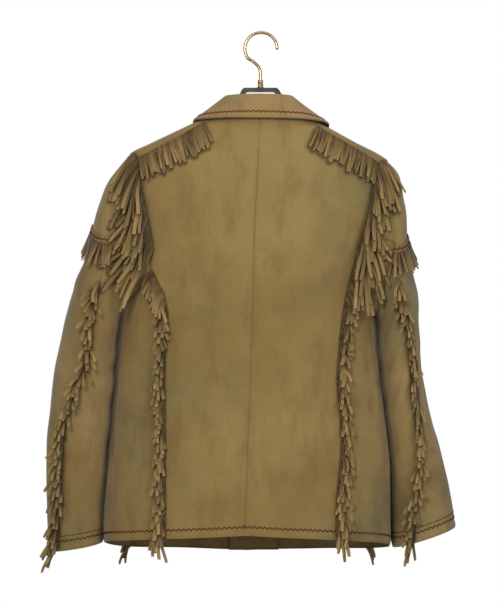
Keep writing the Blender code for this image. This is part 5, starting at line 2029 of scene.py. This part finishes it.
@dataclass
class Hook:
    """Brass hook with a rounded tip, S-bend, shank and stepped ferrule.

    Attributes:
        radius: Radius of the loop's middle line, mm.
        wire: Radius of the wire, mm.
        first: Angle of the loop's tip, degrees.
        last: Angle at which the loop passes into the bend.
        bend: Points of the S-bend and the shank, x and z, mm.
        ferrule: Heights and radii of the steps of the ferrule, mm.
        corners: Corners round the wire.
    """

    radius: float = 26.3
    wire: float = 2.5
    first: float = -4.0
    last: float = 218.0
    bend: tuple[tuple[float, float], ...] = ((15.5, -43.0), (8.5, -48.5), (3.4, -54.5), (1.2, -61.0),
                                             (1.0, -68.0), (1.0, -74.6))
    ferrule: tuple[tuple[float, float], ...] = (
        (-75.0, 2.5), (-75.1, 3.9), (-75.8, 4.6), (-79.4, 4.6), (-79.9, 4.2), (-80.5, 4.2),
        (-81.0, 4.6), (-85.8, 4.6), (-86.4, 5.3), (-87.0, 5.4), (-87.6, 5.4))
    corners: int = 28

    def build(self, brass: bpy.types.Material) -> bpy.types.Object:
        """Make the hook.

        Args:
            brass: Material.

        Returns:
            The finished object.
        """
        turns = np.radians(np.linspace(self.first, self.last, 23))
        loop = np.stack([-np.cos(turns), 0 * turns, np.sin(turns)], axis=1) * self.radius
        loop = loop + np.array([0.0, 0.0, self.wire - self.radius])
        path = curve(np.concatenate([loop, [(x, 0.0, z) for x, z in self.bend]]), 240)
        tip = np.clip(np.linalg.norm(path - path[0], axis=1) / self.wire, 0.0, 1.0)
        radii = self.wire * np.sqrt(np.clip(1 - (1 - tip) ** 2, 0.02, 1.0))
        path = np.concatenate([path, [(1.0, 0.0, z) for z, _ in self.ferrule]])
        radii = np.concatenate([radii, [r for _, r in self.ferrule]])
        flat = np.broadcast_to([0.0, 1.0, 0.0], path.shape)
        across = unit(np.cross(unit(np.gradient(path, axis=0)), flat))
        made = bar("hook_wire", path, flat, across, radii, self.corners, brass)
        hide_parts("hanger_hook")
        return made


@dataclass(frozen=True)
class Lamp:
    """One square area light: its place in metres, size, power, aim and colour."""

    name: str
    where: tuple[float, float, float]
    size: float
    watts: float
    aim: tuple[float, float, float] = (0.02, 0.0, -0.45)
    colour: str = "#FFFFFF"

    def hang(self) -> None:
        """Add the light to the scene."""
        data = bpy.data.lights.new(self.name, "AREA")
        data.shape, data.size, data.energy = "SQUARE", self.size, self.watts
        data.color = linear(self.colour)[:3]
        made = bpy.data.objects.new(self.name, data)
        bpy.context.scene.collection.objects.link(made)
        made.location = self.where
        made.rotation_euler = (Vector(self.aim) - Vector(self.where)).to_track_quat("-Z", "Y").to_euler()


@dataclass
class Studio:
    """Camera at the photograph's place, soft lights and a white ground behind.

    Attributes:
        place: Place of the camera, m.
        lens: Focal length for a sensor of 36 mm.
        around: Strength of the white light from all round.
        lamps: The area lights.
    """

    place: tuple[float, float, float] = (0.0179, 2.8, -0.435)
    lens: float = 102.75
    around: float = 0.31
    lamps: tuple[Lamp, ...] = (
        Lamp("key", (0.5, 2.5, 0.4), 0.5, 20.8, colour="#FFF6E8"), Lamp("fill", (-1.2, 2.1, -0.3), 1.4, 11.0),
        Lamp("top", (0.1, 0.5, 1.4), 1.2, 4.0, (0.0, 0.0, -0.2)), Lamp("front", (0.4, -2.3, 0.2), 1.8, 15.0))

    def build(self) -> None:
        """Set up camera, world and lights."""
        scene = bpy.context.scene
        scene.view_settings.view_transform = "Standard"
        data = bpy.data.cameras.new("camera")
        data.sensor_width, data.lens = 36.0, self.lens
        camera = bpy.data.objects.new("camera", data)
        camera.location = self.place
        camera.rotation_euler = (math.radians(90), 0.0, math.radians(180))
        scene.collection.objects.link(camera)
        scene.camera = camera
        scene.world = bpy.data.worlds.new("white")
        scene.world.use_nodes = True
        tree = scene.world.node_tree
        back = tree.nodes["Background"]
        path, mix = tree.nodes.new("ShaderNodeLightPath"), tree.nodes.new("ShaderNodeMix")
        mix.data_type = "FLOAT"
        mix.inputs[2].default_value, mix.inputs[3].default_value = self.around, 1.0
        tree.links.new(path.outputs["Is Camera Ray"], mix.inputs[0])
        tree.links.new(mix.outputs[0], back.inputs["Strength"])
        back.inputs["Color"].default_value = (1.0, 1.0, 1.0, 1.0)
        for lamp in self.lamps:
            lamp.hang()


# what is sewn on each kind of piece
SEWN_ON = {"back": ("shoulder_fringe", "side_back_fringe"), "front": ("side_front_fringe",),
           "sleeve_top": ("arm_band", "sleeve_fringe"), "sleeve_under": ("armhole_fringe",)}


@dataclass
class Jacket:
    """The dressed part.

    Attributes:
        nodes: CAD nodes by name.
        garment: The leather.
        fringes: The fringes on it.
        rows: Red zigzag rows by the node they are sewn on.
        fine: Fine dark rows by the node they are sewn on.
    """

    nodes: dict[str, bpy.types.Object]
    garment: Garment = field(init=False)
    fringes: Fringes = field(init=False)
    rows: dict[str, bpy.types.Object] = field(default_factory=dict)
    fine: dict[str, bpy.types.Object] = field(default_factory=dict)

    def dress(self) -> None:
        """Make the leather and its fringes."""
        self.garment = Garment({
            "deerskin": leather(DEERSKIN), "deerskin_sleeve": leather(DEERSKIN_SLEEVE),
            "deerskin_side": leather(DEERSKIN_PAINTED_SHADE_SIDE), "collar": leather(DEERSKIN_COLLAR),
            "inside": leather(SUEDE), "facing": leather(FACING)})
        self.garment.build()
        self.fringes = Fringes(self.garment, strand_leather(STRAND))
        self.fringes.build()

    def sew(self) -> None:
        """Sew the red zigzag rows and the fine dark rows above the cuffs."""
        shells = self.garment.shells
        red = Needle(self.garment.tree(), thread(RED_THREAD), RED_ZIGZAG)
        dark = Needle(red.tree, thread(DARK_THREAD), FINE_ZIGZAG)
        for side, word in WORDS.items():
            for piece in (f"back_{word}", f"side_{word}", f"front_{word}"):
                line = edge_line(shells[piece], HEM_IN, Edge.FIRST_ROW)
                self.rows[piece] = red.row(f"hem_stitch_{piece}", *line)
            for piece in (f"sleeve_{word}_top", f"sleeve_{word}_under"):
                line = edge_line(shells[piece], CUFF_IN, Edge.LAST_ROW)
                self.rows[piece] = red.row(f"cuff_stitch_{piece}", *line)
                line = edge_line(shells[piece], FINE_IN, Edge.LAST_ROW)
                self.fine[piece] = dark.row(f"cuff_row_{piece}", *line)
            top, down, normals = self.fringes.bands[side]
            self.rows[f"arm_band_{word}"] = red.row(f"band_stitch_{word}", top - down * BAND_IN, normals,
                                                    seat=False)
        line = edge_line(shells["collar"], COLLAR_IN, Edge.LAST_COLUMN)
        self.rows["collar"] = red.row("collar_stitch", *line)

    def trim(self) -> None:
        """Add the hook, and give the hanger's frame and the buttons their finish."""
        Hook().build(hard(BRASS))
        frame, button = hard(FRAME_PLASTIC), hard(BUTTON_PLASTIC)
        for name, node in self.nodes.items():
            finish = frame if name == "hanger_bar" else button if name.startswith("button") else None
            if finish is not None:
                node.data.materials.clear()
                node.data.materials.append(finish)
                LOG.info("%s: %s", name, finish.name)

    def declare(self) -> None:
        """Gather what is sewn on each sheet and measure its flat cut; nothing further is done with them."""
        made = self.fringes.made
        for node, shell in self.garment.shells.items():
            side = "left" if "left" in node else "right"
            kind = "_".join(part for part in node.split("_") if part not in ("left", "right"))
            sewn = [made[f"{name}_{side}"] for name in SEWN_ON.get(kind, ())]
            sewn += [rows[node] for rows in (self.rows, self.fine) if node in rows]
            if kind == "sleeve_top":
                sewn.append(self.rows[f"arm_band_{side}"])
            width, length, area = shell.flat()

    def build(self) -> None:
        """Make every piece of the scene."""
        self.dress()
        self.sew()
        self.trim()
        self.declare()


def corners(box: tuple[Vector, Vector]) -> list[list[float]]:
    """Corners as plain numbers."""
    return [[round(float(c), 5) for c in corner] for corner in box]


def main() -> None:
    """Dress the frame."""
    logging.basicConfig(level=logging.INFO)
    for item in list(bpy.data.objects):
        bpy.data.objects.remove(item)
    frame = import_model()
    Jacket(frame["nodes"]).build()
    Studio().build()
    bpy.context.view_layer.update()


if __name__ == "__main__":
    main()
